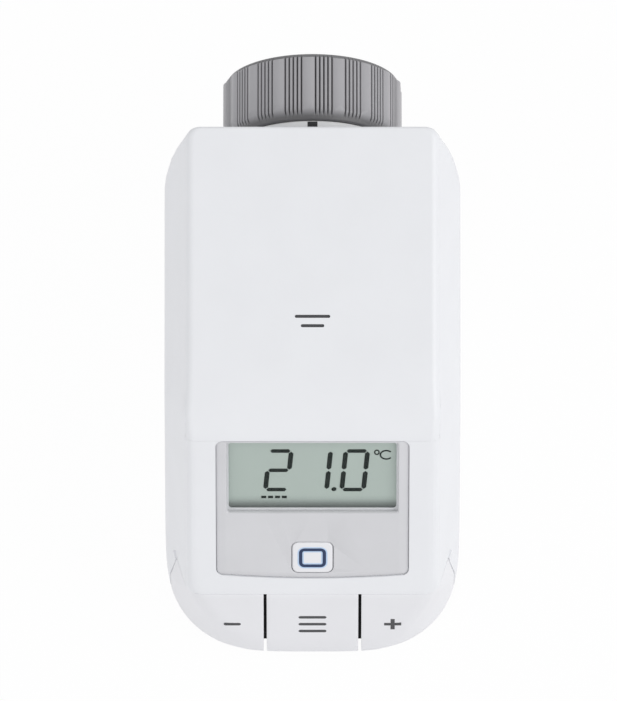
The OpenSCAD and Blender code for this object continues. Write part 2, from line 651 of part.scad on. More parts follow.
module gearbox_rear_plate() color("#c3c6ca") difference() {
    union() {
        along(rear_plate[0], rear_plate[1]) polygon([[-23.6, -3.6], [-7, -3.6], [-7, 3], [7, 3],
            [7, -3.6], [23.6, -3.6], [23.6, -24.8], [-23.6, -24.8]]);
        rod(7, rear_plate[0], rear_plate[1]);
    }
    rod(5 + fit, rear_plate[0] + 1, rear_plate[1] - 1);
    rod(axle_r, rear_plate[0] + 1, rear_plate[1] - 1, gear_c_at);
    rod(axle_r, rear_plate[0] + 1, rear_plate[1] - 1, gear_b_at);
}
module spindle_bridge() color("#c3c6ca") difference() {
    union() {
        along(bridge_plate[0], bridge_plate[1]) polygon([[-14, -7], [-4.5, -16], [4.5, -16], [14, -7],
            [14, -3], [6.5, 5.5], [-6.5, 5.5], [-14, -3]]);
        for (p = bridge_posts) rod(1.6, rear_plate[1], bridge_plate[0], p);
    }
    rod(rod_r + gap, bridge_plate[0] + 1, bridge_plate[1] - 1);
    rod(pitch_r(pinion_n) + 0.9, bridge_plate[0] + 1, bridge_plate[1] - 1, gear_c_at);
}
module gearbox_front_plate() color("#c3c6ca") difference() {
    union() {
        along(front_plate[0], front_plate[1]) polygon([[-23.6, -3.6], [23.6, -5.6], [23.6, -25.4],
            [-23.6, -24.8]]);
        for (p = posts) rod(post_r, rear_plate[1], front_plate[0], p);
    }
    rod(axle_r, front_plate[0] + 1, front_plate[1] - 1, gear_b_at);
    rod(axle_r, front_plate[0] + 1, front_plate[1] - 1, gear_a_at);
    rod(2.2, front_plate[0] + 1, front_plate[1] - 1, motor_at);
}

// ---- motor ----
motor_y = front_plate[1];
terminal_x = 3.2;
terminal_y = motor_y - motor_l - 3.6;
module motor_outline(r) intersection() {
    circle(r = r);
    square([2 * r, 2 * r - 2], center = true);
}
module motor_can() color("#a9adb2") difference() {
    translate([motor_at[0], 0, motor_at[1]]) along(motor_y, motor_y - motor_l) motor_outline(motor_r);
    translate([motor_at[0], 0, motor_at[1]]) along(motor_y - 0.6, motor_y - motor_l - 1)
        motor_outline(motor_r - 0.5);
    rod(axle_r + fit, motor_y + 1, motor_y - 2, motor_at);
}
module motor_magnets() color("#3b3b3f") for (s = [-1, 1]) translate([motor_at[0], 0, motor_at[1]])
    along(motor_y - 2, motor_y - motor_l + 5) intersection() {
        difference() {
            circle(r = motor_r - 0.52);
            circle(r = motor_r - 1.7);
        }
        translate([s * motor_r, 0]) square([motor_r, 7], center = true);
    }
module motor_endcap() color("#2f2f33") difference() {
    union() {
        translate([motor_at[0], 0, motor_at[1]]) along(motor_y - motor_l + 1, motor_y - motor_l)
            motor_outline(motor_r - 0.5);
        translate([motor_at[0], 0, motor_at[1]]) along(motor_y - motor_l, motor_y - motor_l - 1)
            motor_outline(motor_r);
        for (s = [-1, 1]) translate([motor_at[0] + s * terminal_x - 0.8, terminal_y, motor_at[1] - 0.2])
            cube([1.6, 3, 0.4]);
    }
    rod(axle_r + fit, motor_y - motor_l + 2, motor_y - motor_l - 2, motor_at);
}
module motor_rotor() color("#b98a4a") union() {
    rod(axle_r, layer_4 + 0.4, motor_y - motor_l - 0.8, motor_at);
    rod(motor_r - 2.2, motor_y - 3, motor_y - motor_l + 6, motor_at);
    rod(1.6, motor_y - motor_l + 5.6, motor_y - motor_l + 2, motor_at);
}
module motor_pinion() color("#c9a24b") difference() {
    toothed(pinion_n, phase_motor, motor_at, layer_4, layer_4 - face_w);
    rod(axle_r, layer_4 + 1, layer_4 - face_w - 1, motor_at);
}
lead_r = 0.5;
lead_sides = 8;
// a ring of points round p, square to the level direction d
function ring(p, d) = let (u = d / norm(d), side = cross(u, [0, 0, 1]), v = side / norm(side),
    w = cross(v, u)) [for (k = [0:lead_sides - 1]) p + lead_r * (v * cos(k * 360 / lead_sides)
        + w * sin(k * 360 / lead_sides))];
module lead(points) let (n = len(points), rings = [for (i = [0:n - 1])
    ring(points[i], points[min(i + 1, n - 1)] - points[max(i - 1, 0)])])
    polyhedron([for (r = rings, p = r) p], concat([[for (k = [0:lead_sides - 1]) k]],
        [for (i = [0:n - 2], k = [0:lead_sides - 1]) let (a = i * lead_sides, m = (k + 1) % lead_sides)
            [a + k, a + lead_sides + k, a + lead_sides + m, a + m]],
        [[for (k = [lead_sides - 1:-1:0]) (n - 1) * lead_sides + k]]));
module motor_leads() color("#b03030") for (s = [-1, 1]) let (x = motor_at[0] + s * terminal_x,
    y = terminal_y, z = motor_at[1]) lead([[x, y, z], [x, y - 1.5, z - 0.6],
        [x, y - 3, z - 2], [x - 1, y - 6, z - 3.6], [x - 2, y - 9, z - 4], [x - 3, y - 12, z - 3.6],
        [x - 3.6, y - 15, z - 2.4]]);
module case_screws() color("#8d9196") for (p = case_screw_at) translate([p[0], p[1], base_z + 0.8])
    union() {
        cylinder(r = 2.2, h = 1.4);
        cylinder(r = 1.1, h = 10);
    }

union_nut();
valve_collar();
lower_housing();
battery_cover();
front_cover();
display_bezel();
display_window();
minus_key();
menu_key();
plus_key();
system_button();
button_light_ring();
lcd_glass();
lcd_reflector();
zebra_strips();
main_board();
controller_chip();
radio_module();
antenna_coil();
buffer_capacitor();
button_switch();
key_board();
key_switches();
temperature_sensor();
battery_tray();
battery_cell_left();
battery_cell_right();
rear_contacts();
front_contact();
gearbox_rear_plate();
spindle_bridge();
gearbox_front_plate();
gear_axles();
gear_a();
gear_b();
gear_c();
spindle_gear();
thrust_washer();
plunger();
motor_can();
motor_magnets();
motor_endcap();
motor_rotor();
motor_pinion();
motor_leads();
case_screws();
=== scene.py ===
"""Looks of an electronic radiator thermostat head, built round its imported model.

Lengths in this file are millimetres in the model's own frame: +Y towards the valve, +Z up, X across.
"""
import json
import math

import bmesh
import bpy
import numpy as np
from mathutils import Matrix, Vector


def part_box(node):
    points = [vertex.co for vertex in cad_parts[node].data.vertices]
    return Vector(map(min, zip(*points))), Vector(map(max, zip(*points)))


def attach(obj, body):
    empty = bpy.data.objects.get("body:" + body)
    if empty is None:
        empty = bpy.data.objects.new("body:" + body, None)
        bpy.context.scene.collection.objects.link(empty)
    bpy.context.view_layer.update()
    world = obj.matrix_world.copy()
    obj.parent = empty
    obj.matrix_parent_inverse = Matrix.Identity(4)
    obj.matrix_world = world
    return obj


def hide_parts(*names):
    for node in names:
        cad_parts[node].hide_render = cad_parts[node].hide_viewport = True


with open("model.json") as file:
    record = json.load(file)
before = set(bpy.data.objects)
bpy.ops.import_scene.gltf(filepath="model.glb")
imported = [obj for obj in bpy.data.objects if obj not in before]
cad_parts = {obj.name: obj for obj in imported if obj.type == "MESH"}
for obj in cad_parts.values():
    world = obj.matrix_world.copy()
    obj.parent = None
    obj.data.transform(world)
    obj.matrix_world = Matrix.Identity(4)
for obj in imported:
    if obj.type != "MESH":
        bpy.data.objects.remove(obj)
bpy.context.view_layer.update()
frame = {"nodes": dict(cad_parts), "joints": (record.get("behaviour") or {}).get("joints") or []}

MM = 0.001
sharp_turn = 38        # degrees between faces, past which an edge stays sharp


# ---------------------------------------------------------------- sizes
def node_box(name):
    """Lowest and highest corner of a node, in millimetres."""
    low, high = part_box(name)
    return np.array(low) / MM, np.array(high) / MM


def joint(name):
    """A joint's entry in the record."""
    return next(j for j in frame["joints"] if j["name"] == name)


def turned(direction):
    """The direction in (y, z) that points into the body, square to one that runs down a slope."""
    return np.array([-direction[1], direction[0]])


housing_low, housing_high = node_box("lower_housing")
cover_high = node_box("battery_cover")[1]
half_w = max(housing_high[0], cover_high[0])
base_z = housing_low[2]
rear_y = cover_high[1]
top_z = cover_high[2]
front_y = node_box("menu_key")[0][1]
nut_end = node_box("union_nut")[0][1]

deck_dir = np.array(joint("cover_slide")["axis"][1:])
deck_in = turned(deck_dir)
face_in = np.array(joint("button_press")["axis"][1:])
face_dir = np.array([face_in[1], -face_in[0]])
deck_slope = math.atan2(-deck_dir[1], -deck_dir[0])
face_slope = math.atan2(-face_dir[1], -face_dir[0])
key_slope = math.radians(71.7)
key_dir = -np.array([math.cos(key_slope), math.sin(key_slope)])
key_in = turned(key_dir)

face_l = 36.0          # display face, from the bend to the crease over the keys
key_l = 17.8           # keys, down their slope
bend_deck_l = 12.6     # the bend's tangent on the deck
bend_face_l = 5.3      # and on the display face
rear_top = np.array([rear_y, top_z])
deck_l = (
    (rear_y - front_y - (bend_face_l + face_l) * math.cos(face_slope) - key_l * math.cos(key_slope))
    / math.cos(deck_slope) - bend_deck_l
)
bend_start = rear_top + deck_l * deck_dir
bend_corner = bend_start + bend_deck_l * deck_dir
panel_top = bend_corner + bend_face_l * face_dir
crease = panel_top + face_l * face_dir
chin = crease + key_l * key_dir
bend_turn = face_slope - deck_slope

top_half_w = 23.9      # flat top, to where the sides start to lean
lean = math.radians(15)
rear_corner_r = 6.0
front_depth = 24.4     # rounded front in plan
front_power = 2.7
front_start = front_y - 0.4 + front_depth
ramp = -base_z - top_z  # the chamfer under the rear
chin_low = np.array([front_y, chin[1] - 1.75])
under = np.array([-0.45, -1.0]) / math.hypot(0.45, 1.0)
edge_r = 1.15          # along the deck's long edges
corner_r = 2.6         # where the leaning sides meet the rear
rim_r = 1.0            # over the rear edge and round the base
crease_r, front_r, chin_r, ramp_r = 0.35, 1.2, 0.7, 0.8
side_r = 0.12          # where the leaning sides run into the outline in plan
bend_r = 0.1           # between the leaning sides of the deck and of the display face

cover_t = 1.5          # battery cover
front_t = 2.0          # front cover
seam = 0.03            # between the covers and the shells they meet
wall = 2.0
key_t = 1.6
key_back_y = front_y + 14.2
nose_inset = 4.2       # housing behind the keys


# ---------------------------------------------------------------- the body's skin
def rounded(a, b, r):
    """Distance to the inside of two walls at once, with the edge between them rounded to about r."""
    return np.hypot(np.maximum(a + r, 0), np.maximum(b + r, 0)) - r + np.minimum(np.maximum(a, b) + r, 0)


def beyond(y, z, through, outward):
    """Distance past a plane that runs across the body, given by a point and its outward normal."""
    return (y - through[0]) * outward[0] + (z - through[1]) * outward[1]


def top_distance(y, z):
    """Distance above the deck, the bend and the display face, as one surface.

    Each plane's distance is scaled so that it is 1 on the plane and 0 where the bend's rounding ends; the
    bend is where the two raised to one power add up to 1, divided by its slope to give a length."""
    deck = beyond(y, z, rear_top, -deck_in)
    face = beyond(y, z, panel_top, -face_in)
    deck_k = bend_face_l * math.sin(bend_turn)
    face_k = bend_deck_l * math.sin(bend_turn)
    power = math.log(0.5) / math.log(0.75)
    u = np.maximum(1 + deck / deck_k, 1e-6)
    v = np.maximum(1 + face / face_k, 1e-6)
    whole = (u**power + v**power) ** (1 / power)
    a = (u / whole) ** (power - 1) / deck_k
    b = (v / whole) ** (power - 1) / face_k
    return (whole - 1) / np.sqrt(a * a + b * b + 2 * a * b * math.cos(bend_turn))


def lean_distance(x, y, z, through, inward):
    """Distance outside the leaning side below one sloping face."""
    depth = beyond(y, z, through, inward)
    return (np.abs(x) - top_half_w - depth * math.tan(lean)) * math.cos(lean)


def plan_distance(x, y):
    """Distance outside the outline in plan: round rear corners, and a squared-off oval front, where the
    shares of the half width and of the front's depth, raised to one power, add up to 1."""
    u = np.abs(x) / half_w
    v = np.maximum(front_start - y, 0) / front_depth
    whole = np.maximum((u**front_power + v**front_power) ** (1 / front_power), 1e-6)
    slope = np.hypot(
        (u / whole) ** (front_power - 1) / half_w, (v / whole) ** (front_power - 1) / front_depth)
    front = (whole - 1) / np.maximum(slope, 1e-3)
    qx = np.abs(x) - half_w + rear_corner_r
    qy = y - rear_y + rear_corner_r
    rear = np.hypot(np.maximum(qx, 0), np.maximum(qy, 0)) + np.minimum(np.maximum(qx, qy), 0)
    return np.maximum(front, rear - rear_corner_r)


def body_distance(p):
    """Distance outside the whole outer form: its walls one after another, each with a rounded edge."""
    x, y, z = p[..., 0], p[..., 1], p[..., 2]
    profile = rounded(top_distance(y, z), beyond(y, z, crease, -key_in), crease_r)
    profile = rounded(profile, front_y - y, front_r)
    profile = rounded(profile, beyond(y, z, chin_low, under), chin_r)
    profile = rounded(profile, base_z - z, rim_r)
    rear = rounded(y - rear_y, (y - rear_y - z + base_z + ramp) / math.sqrt(2), ramp_r)
    profile = rounded(profile, rear, rim_r)
    sides = rounded(
        lean_distance(x, y, z, rear_top, deck_in), lean_distance(x, y, z, panel_top, face_in), bend_r)
    sides = rounded(sides, y - rear_y, corner_r)
    sides = rounded(sides, plan_distance(x, y), side_r)
    return rounded(profile, sides, edge_r)


def reach(field, start, heading, far=60.0, steps=34):
    """Where rays from inside a form leave it: each ray is halved until its end lies on the skin."""
    near_t = np.zeros(np.broadcast(start[..., 0], heading[..., 0]).shape)
    far_t = near_t + far
    for _ in range(steps):
        middle = (near_t + far_t) / 2
        inside = field(start + middle[..., None] * heading) < 0
        near_t = np.where(inside, middle, near_t)
        far_t = np.where(inside, far_t, middle)
    return start + near_t[..., None] * heading


def vec(x, y, z):
    """Points from three arrays that fit each other."""
    return np.stack(np.broadcast_arrays(np.asarray(x, float), y, z), axis=-1)


def spaced(*stops):
    """Parameters through (value, steps) stops, evenly within each stretch."""
    out = [np.array([stops[0][0]])]
    for (a, _), (b, n) in zip(stops, stops[1:]):
        out.append(np.linspace(a, b, n + 1)[1:])
    return np.concatenate(out)


def round_turn(n):
    """Angles of n points once round a circle."""
    return np.linspace(0, 2 * math.pi, n + 1)[:-1]


def sloped(origin, down, inward):
    """A slope's own frame: a function that takes distances across, down the slope and into the body."""
    def space(x, s, depth):
        y, z = (origin[i] + s * down[i] + depth * inward[i] for i in (0, 1))
        return vec(x, y, z)
    return space


deck_space = sloped(rear_top, deck_dir, deck_in)
face_space = sloped(panel_top, face_dir, face_in)
key_space = sloped(crease, key_dir, key_in)


# ---------------------------------------------------------------- meshes
def grid_faces(rows, cols, loop=False, start=0):
    """Quads of a grid of rows by cols points, whose columns may join up in a loop."""
    i = np.arange(rows - 1)[:, None] * cols
    j = np.arange(cols if loop else cols - 1)[None, :]
    k = (j + 1) % cols
    return np.stack([i + j, i + k, i + cols + k, i + cols + j], axis=-1).reshape(-1, 4) + start


class Shape:
    """Points and faces gathered from several grids."""

    def __init__(self):
        self.points, self.faces, self.count = [], [], 0

    def grid(self, p, loop=False):
        """Adds a grid of points."""
        rows, cols = p.shape[:2]
        self.points.append(p.reshape(-1, 3))
        self.faces.extend(grid_faces(rows, cols, loop, self.count).tolist())
        self.count += rows * cols
        return self

    def prism(self, rings):
        """Adds a closed form from rings of points, with both ends shut."""
        first = self.count
        self.grid(rings, loop=True)
        n = rings.shape[1]
        self.faces.append(list(range(self.count - n, self.count)))
        self.faces.append(list(range(first, first + n))[::-1])
        return self


class Skin:
    """Rays from points inside a form out to its skin, gathered as grids."""

    def __init__(self):
        self.anchors, self.headings, self.faces, self.count = [], [], [], 0

    def grid(self, anchor, heading, sides=(1, -1)):
        """Adds a grid of rays as it is, as its mirror image across the body, or both."""
        anchor, heading = np.broadcast_arrays(anchor, heading)
        for side in sides:
            flip = np.array([side, 1, 1])
            self.anchors.append((anchor * flip).reshape(-1, 3))
            self.headings.append((heading * flip).reshape(-1, 3))
            self.faces.append(grid_faces(*anchor.shape[:2], start=self.count))
            self.count += anchor.shape[0] * anchor.shape[1]

    def solid(self, field, thickness=None):
        """A closed shape: the skin, a second one inside it, and rims between their open edges.

        The inner one lies a thickness below the skin, or else at the rays' own starting points. Points
        that fall together on the skin count as one, and a face that lies there twice is kept once."""
        anchor, heading, faces = (np.vstack(part) for part in (self.anchors, self.headings, self.faces))
        outer = reach(field, anchor, heading)
        inner = anchor if thickness is None else reach(lambda p: field(p) + thickness, anchor, heading)
        _, first, same = np.unique(np.round(outer, 4), axis=0, return_index=True, return_inverse=True)
        faces = first[same.reshape(-1)][faces]
        _, kept = np.unique(np.sort(faces, axis=1), axis=0, return_index=True)
        faces = faces[kept]
        edges = np.stack([faces, np.roll(faces, -1, axis=1)], axis=-1).reshape(-1, 2)
        edges = edges[edges[:, 0] != edges[:, 1]]
        _, where, times = np.unique(np.sort(edges, axis=1), axis=0, return_index=True, return_counts=True)
        rim = edges[where[times == 1]]
        n = len(outer)
        rims = np.stack([rim[:, 1], rim[:, 0], rim[:, 0] + n, rim[:, 1] + n], axis=-1)
        shape = Shape()
        shape.points = [outer, inner]
        shape.faces = np.vstack([faces, faces[:, ::-1] + n, rims]).tolist()
        shape.count = 2 * n
        return shape


def closed_mesh(name, shape, flattened=False):
    """A shape as a mesh: doubles merged, flattened faces taken out if asked, faces turned outwards."""
    mesh = bpy.data.meshes.new(name)
    mesh.from_pydata((np.vstack(shape.points) * MM).tolist(), [], shape.faces)
    form = bmesh.new()
    form.from_mesh(mesh)
    bmesh.ops.remove_doubles(form, verts=form.verts, dist=2e-6)
    if flattened:
        bmesh.ops.dissolve_degenerate(form, edges=form.edges, dist=5e-7)
    bmesh.ops.recalc_face_normals(form, faces=form.faces)
    form.to_mesh(mesh)
    form.free()
    return mesh


def placed(name, data):
    """Puts a mesh, lamp or camera into the scene."""
    made = bpy.data.objects.new(name, data)
    bpy.context.scene.collection.objects.link(made)
    return made


def piece(name, shape, body, material, nodes=(), sharp=sharp_turn):
    """Makes a shape one closed piece that rides on a body."""
    mesh = closed_mesh(name, shape, flattened=True)
    mesh.shade_smooth()
    mesh.set_sharp_from_angle(angle=math.radians(sharp))
    mesh.materials.append(material)
    made = placed(name, mesh)
    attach(made, body)
    if nodes:
        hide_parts(*nodes)
    return made


def freeze(made):
    """Applies a piece's modifiers, so that its mesh is final."""
    bpy.context.view_layer.update()
    graph = bpy.context.evaluated_depsgraph_get()
    mesh = bpy.data.meshes.new_from_object(made.evaluated_get(graph))
    made.modifiers.clear()
    made.data = mesh
    mesh.shade_smooth()
    mesh.set_sharp_from_angle(angle=math.radians(sharp_turn))


def combine(made, operation, tools):
    """Takes closed shapes away from a piece or joins them to it, exactly, one after another."""
    for tool in tools:
        cutter = placed("tool", closed_mesh("form", tool))
        step = made.modifiers.new("combine", "BOOLEAN")
        step.operation, step.solver, step.object = operation, "EXACT", cutter
        freeze(made)
        bpy.data.objects.remove(cutter)


def cut(made, *tools):
    """Takes closed shapes away from a piece."""
    combine(made, "DIFFERENCE", tools)


def join(made, *tools):
    """Joins closed shapes to a piece."""
    combine(made, "UNION", tools)


def add(made, shape):
    """Adds closed shapes to a piece as they are."""
    form = bmesh.new()
    form.from_mesh(made.data)
    form.from_mesh(closed_mesh("form", shape))
    form.to_mesh(made.data)
    form.free()
    made.data.set_sharp_from_angle(angle=math.radians(sharp_turn))


def soften(made, r):
    """Rounds a piece's sharp edges."""
    step = made.modifiers.new("soften", "BEVEL")
    step.width, step.segments = r * MM, 2
    step.limit_method, step.angle_limit = "ANGLE", math.radians(50)
    freeze(made)


# ---------------------------------------------------------------- materials
def emptied(owner):
    """The node tree of a material or a world, with nothing in it yet."""
    owner.use_nodes = True
    owner.node_tree.nodes.clear()
    return owner.node_tree


def node(tree, kind, inputs=None, **settings):
    """Adds a shader node. Each input is a plain value or the socket that feeds it."""
    made = tree.nodes.new("ShaderNode" + kind)
    for name, value in settings.items():
        setattr(made, name, value)
    for name, value in (inputs or {}).items():
        if isinstance(value, bpy.types.NodeSocket):
            tree.links.new(value, made.inputs[name])
        else:
            made.inputs[name].default_value = value
    return made


def maths(tree, operation, *values):
    """The result of a Math node."""
    return node(tree, "Math", dict(enumerate(values)), operation=operation).outputs[0]


def along(tree, place, direction):
    """A place's distance along a direction in (y, z), in millimetres."""
    per_mm = (0, direction[0] / MM, direction[1] / MM)
    return node(tree, "VectorMath", {0: place, 1: per_mm}, operation="DOT_PRODUCT").outputs["Value"]


def ranged(tree, value, low, high, least=0.0, most=1.0):
    """A value between low and high, carried over to between least and most, and held there."""
    made = node(tree, "MapRange", {
        "Value": value, "From Min": low, "From Max": high, "To Min": least, "To Max": most})
    return made.outputs["Result"]


def colour_ramp(tree, value, stops, interpolation="LINEAR"):
    """The colour at a value between (position, colour) stops."""
    made = node(tree, "ValToRGB", {"Fac": value})
    made.color_ramp.interpolation = interpolation
    elements = made.color_ramp.elements
    for element, (position, colour) in zip(elements, (stops[0], stops[-1])):
        element.position, element.color = position, (*colour, 1)
    for position, colour in stops[1:-1]:
        elements.new(position).color = (*colour, 1)
    return made.outputs["Color"]


def moulded(name, colour, rough=0.42, grain=0.02, grain_mm=0.35, mottle=0.012, mottle_mm=9.0,
            metallic=0.0, specular=0.5, coat=0.0, over=None):
    """A moulded or worked surface: its colour drifts a little over a broad noise, and a fine noise gives
    the grain in its bump and roughness. A function may lay something over the colour."""
    material = bpy.data.materials.new(name)
    tree = emptied(material)
    place = node(tree, "TexCoord").outputs["Object"]
    broad, fine = (
        node(tree, "TexNoise", {"Vector": place, "Scale": 1 / (MM * size), "Detail": n}).outputs["Fac"]
        for size, n in ((mottle_mm, 3), (grain_mm, 2)))
    dark = [max(c * (1 - 2 * mottle), 0) for c in colour]
    light = [min(c * (1 + mottle), 1) for c in colour]
    base = colour_ramp(tree, broad, [(0.3, dark), (0.7, light)])
    bump = node(tree, "Bump", {"Height": fine, "Strength": 0.35, "Distance": grain * MM})
    shader = node(tree, "BsdfPrincipled", {
        "Base Color": over(tree, place, base) if over else base,
        "Roughness": ranged(tree, fine, 0, 1, rough - 0.04, rough + 0.04),
        "Normal": bump.outputs["Normal"], "Metallic": metallic, "Specular IOR Level": specular,
        "Coat Weight": coat})
    node(tree, "OutputMaterial", {"Surface": shader.outputs["BSDF"]})
    return material


def tone(r, g, b):
    """A colour as it shows on screen, from 0 to 255, as a linear colour."""
    c = np.array([r, g, b]) / 255
    return [float(v) for v in np.where(c <= 0.04045, c / 12.92, ((c + 0.055) / 1.055) ** 2.4)]


white_shell = moulded("white_shell", tone(236, 237, 240), mottle=0.006)
white_key = moulded("white_key", tone(236, 236, 239), mottle=0.006)
bezel_grey = moulded("bezel_grey", tone(213, 213, 216), rough=0.36)
collar_white = moulded("collar_white", tone(238, 238, 238))
tray_grey = moulded("tray_grey", tone(205, 207, 210), rough=0.45)
plate_grey = moulded("plate_grey", tone(190, 192, 196), rough=0.5)
gear_cream = moulded("gear_cream", tone(236, 226, 204), rough=0.35)
plunger_white = moulded("plunger_white", tone(228, 228, 226), rough=0.38)
steel = moulded("ground_steel", tone(190, 192, 196), rough=0.28, metallic=1.0, mottle=0.04, mottle_mm=3)
tin = moulded("tinned_shield", tone(200, 202, 204), rough=0.32, metallic=1.0, mottle=0.05, mottle_mm=4)
nickel = moulded("nickel_spring", tone(205, 200, 184), rough=0.25, metallic=1.0, mottle=0.03, mottle_mm=2)
brass = moulded("turned_brass", tone(205, 176, 106), rough=0.26, metallic=1.0, mottle=0.04, mottle_mm=2)
copper = moulded(
    "enamelled_copper", tone(196, 120, 74), rough=0.3, metallic=1.0, mottle=0.08, mottle_mm=0.5)
magnet_dark = moulded("ferrite", tone(62, 62, 66), rough=0.6, mottle=0.1, mottle_mm=1.5)
board_green = moulded("solder_mask", tone(32, 104, 66), rough=0.3, mottle=0.12, mottle_mm=2.2, coat=0.3)
chip_black = moulded("black_package", tone(40, 40, 42), rough=0.5, mottle=0.08, mottle_mm=1.2)
# real rubber for the zebra strips, and painted shade behind the key slits and in the collar's notch
dark_rubber_and_shade = moulded("contact_rubber_and_painted_shade", tone(48, 48, 50), rough=0.75, mottle=0.1, mottle_mm=1.0)
reflector_white = moulded("diffuser_white", tone(236, 236, 230), rough=0.6)
sleeve_blue = moulded("capacitor_sleeve", tone(40, 52, 86), rough=0.3, mottle=0.05, mottle_mm=2)
bead_brown = moulded("dipped_bead", tone(70, 52, 42), rough=0.3, mottle=0.08, mottle_mm=0.6)
lead_red = moulded("silicone_lead", tone(176, 46, 42), rough=0.55, mottle=0.04, mottle_mm=1.5)
# printed marks on the keys, and painted shade in the grip slots
print_and_shade_dark = moulded("printed_mark_and_painted_shade", tone(66, 66, 69), rough=0.5, mottle=0.03, mottle_mm=1.5)

finish_of = {  # the nodes inside the case, which show as they were packed
    "valve_collar": collar_white, "lcd_reflector": reflector_white, "zebra_strips": dark_rubber_and_shade,
    "main_board": board_green, "controller_chip": chip_black, "radio_module": tin, "antenna_coil": copper,
    "buffer_capacitor": sleeve_blue, "button_switch": chip_black, "key_board": board_green,
    "key_switches": chip_black, "temperature_sensor": bead_brown, "battery_tray": tray_grey,
    "front_contact": nickel, "gearbox_rear_plate": plate_grey, "spindle_bridge": plate_grey,
    "gearbox_front_plate": plate_grey, "gear_axles": steel, "gear_a": gear_cream, "gear_b": gear_cream,
    "gear_c": gear_cream, "spindle_gear": gear_cream, "thrust_washer": steel, "plunger": plunger_white,
    "motor_can": tin, "motor_magnets": magnet_dark, "motor_endcap": chip_black, "motor_rotor": copper,
    "motor_pinion": brass, "motor_leads": lead_red,
}
for node_name, finish in finish_of.items():
    mesh = frame["nodes"][node_name].data
    mesh.materials.clear()
    mesh.materials.append(finish)

# ---------------------------------------------------------------- battery cover and front cover
inset = 3.0            # how far inside a panel's edges the rays of those edges start
inset_x = top_half_w - inset
deep = 4.0             # how far inside the skin the rays start
edge_turn = np.radians(spaced((0, 0), (48, 3), (84, 13), (90, 2)))


def top_skin(base, into, depth, columns, round_rear):
    """Rays of a panel of the top: its flat middle, its leaning sides, and its rear edge if it has one.

    Stations run down the slope, each an inner point and the direction into the body. The rays start at
    one depth under the skin. In the middle they go straight out, and at the sides they fan out from there
    through a quarter turn."""
    skin = Skin()
    out = vec(0, -into[:, 0], -into[:, 1])
    flat = reach(body_distance, vec(0, base[:, 0], base[:, 1]), out)
    start = flat[:, 1:] + depth * into
    across = np.linspace(0, inset_x, columns + 1)
    sine, cosine = np.sin(edge_turn)[None, :, None], np.cos(edge_turn)[None, :, None]
    right = vec(1, 0, 0)
    skin.grid(vec(across[None, :], start[:, :1], start[:, 1:]), out[:, None, :])
    skin.grid(vec(inset_x, start[:, 0], start[:, 1])[:, None, :], cosine * out[:, None, :] + sine * right)
    if round_rear:
        back = vec(0, *-deck_dir)
        turn = np.linspace(0, math.pi / 2, 11)[:, None]
        level = np.cos(turn) * right + np.sin(turn) * back
        skin.grid(vec(inset_x, *start[0])[None, None, :], cosine * out[0] + sine * level[:, None, :])
        skin.grid(vec(across, *start[0])[:, None, :], cosine * out[0] + sine * back)
    return skin


deck_stops = np.linspace(inset, deck_l, 16)
bend_t = np.linspace(0, 1, 25)[1:-1, None]
bend_line = ((1 - bend_t) ** 2 * bend_start + 2 * bend_t * (1 - bend_t) * bend_corner
             + bend_t**2 * panel_top)
bend_way = (1 - bend_t) * (bend_corner - bend_start) + bend_t * (panel_top - bend_corner)
bend_in = np.stack([-bend_way[:, 1], bend_way[:, 0]], axis=1) / np.linalg.norm(bend_way, axis=1)[:, None]
cover_base = np.vstack([
    rear_top + deck_stops[:, None] * deck_dir + deep * deck_in, bend_line + deep * bend_in,
    panel_top - seam * face_dir + deep * face_in])
cover_into = np.vstack([np.tile(deck_in, (len(deck_stops), 1)), bend_in, face_in])
cover_shape = top_skin(cover_base, cover_into, cover_t, 8, True).solid(body_distance)
battery_cover = piece("battery_cover_skin", cover_shape, "cover", white_shell, ["battery_cover"])

grip_s = deck_l - 7.3  # the two grip marks, down the deck
grips = [(3.4, grip_s), (2.25, grip_s + 1.8)]
grip_w, grip_depth = 0.6, 0.5
shade_inlay_gap, shade_inlay_sunk = 0.02, 0.12   # round the dark inlay that paints the slots' shade, and over it


def bar(space, half, s, tall, top, bottom, x=0.0):
    """A bar with round ends, square to a slope: half its length, its place down the slope, its width."""
    turn = np.linspace(-math.pi / 2, math.pi / 2, 9)
    r = tall / 2
    ends = np.concatenate([x + half - r + r * np.cos(turn), x - half + r - r * np.cos(turn)])
    rise = np.concatenate([s + r + r * np.sin(turn), s + r - r * np.sin(turn)])
    return space(ends[None, :], rise[None, :], np.array([top, bottom])[:, None])


slots, grip_shade_inlay = Shape(), Shape()
for half, s in grips:
    slots.prism(bar(deck_space, half, s, grip_w, -1.0, grip_depth))
    grip_shade_inlay.prism(bar(deck_space, half - shade_inlay_gap, s + shade_inlay_gap, grip_w - 2 * shade_inlay_gap,
                    grip_depth - shade_inlay_sunk, grip_depth + 0.05))
cut(battery_cover, slots)

# the cover's rails: each a web with a tongue that points outwards, under a lip of the housing
rail_x, rail_w, rail_depth, tongue_w, tongue_top = 21.2, 0.8, 3.0, 0.8, 2.3
rail_steps = np.array([0, rail_w, rail_w, rail_w + tongue_w, rail_w + tongue_w, 0])
rail_depths = np.array([cover_t, cover_t, tongue_top, tongue_top, rail_depth, rail_depth])
rail_ends = np.array([6.0, deck_l - 2.0])[:, None]
rails = Shape()
for side in (-1, 1):
    rails.prism(deck_space(side * (rail_x + rail_steps), rail_ends, rail_depths))
add(battery_cover, rails)
# dark inlays at the floors of the grip slots: painted shade
piece("grip_slot_shade", grip_shade_inlay, "cover", print_and_shade_dark)

panel_half, panel_l, panel_r = 18.5, 31.3, 1.3
panel_gap = 0.07       # round the panel, in its pocket
panel_bulge = 0.75     # the panel's lower edge bows down in the middle
bezel_t = 1.0
window_half, window_top, window_low = 16.4, 0.5, 16.6
button_half, button_top, button_low = 3.9, 23.7, 30.7


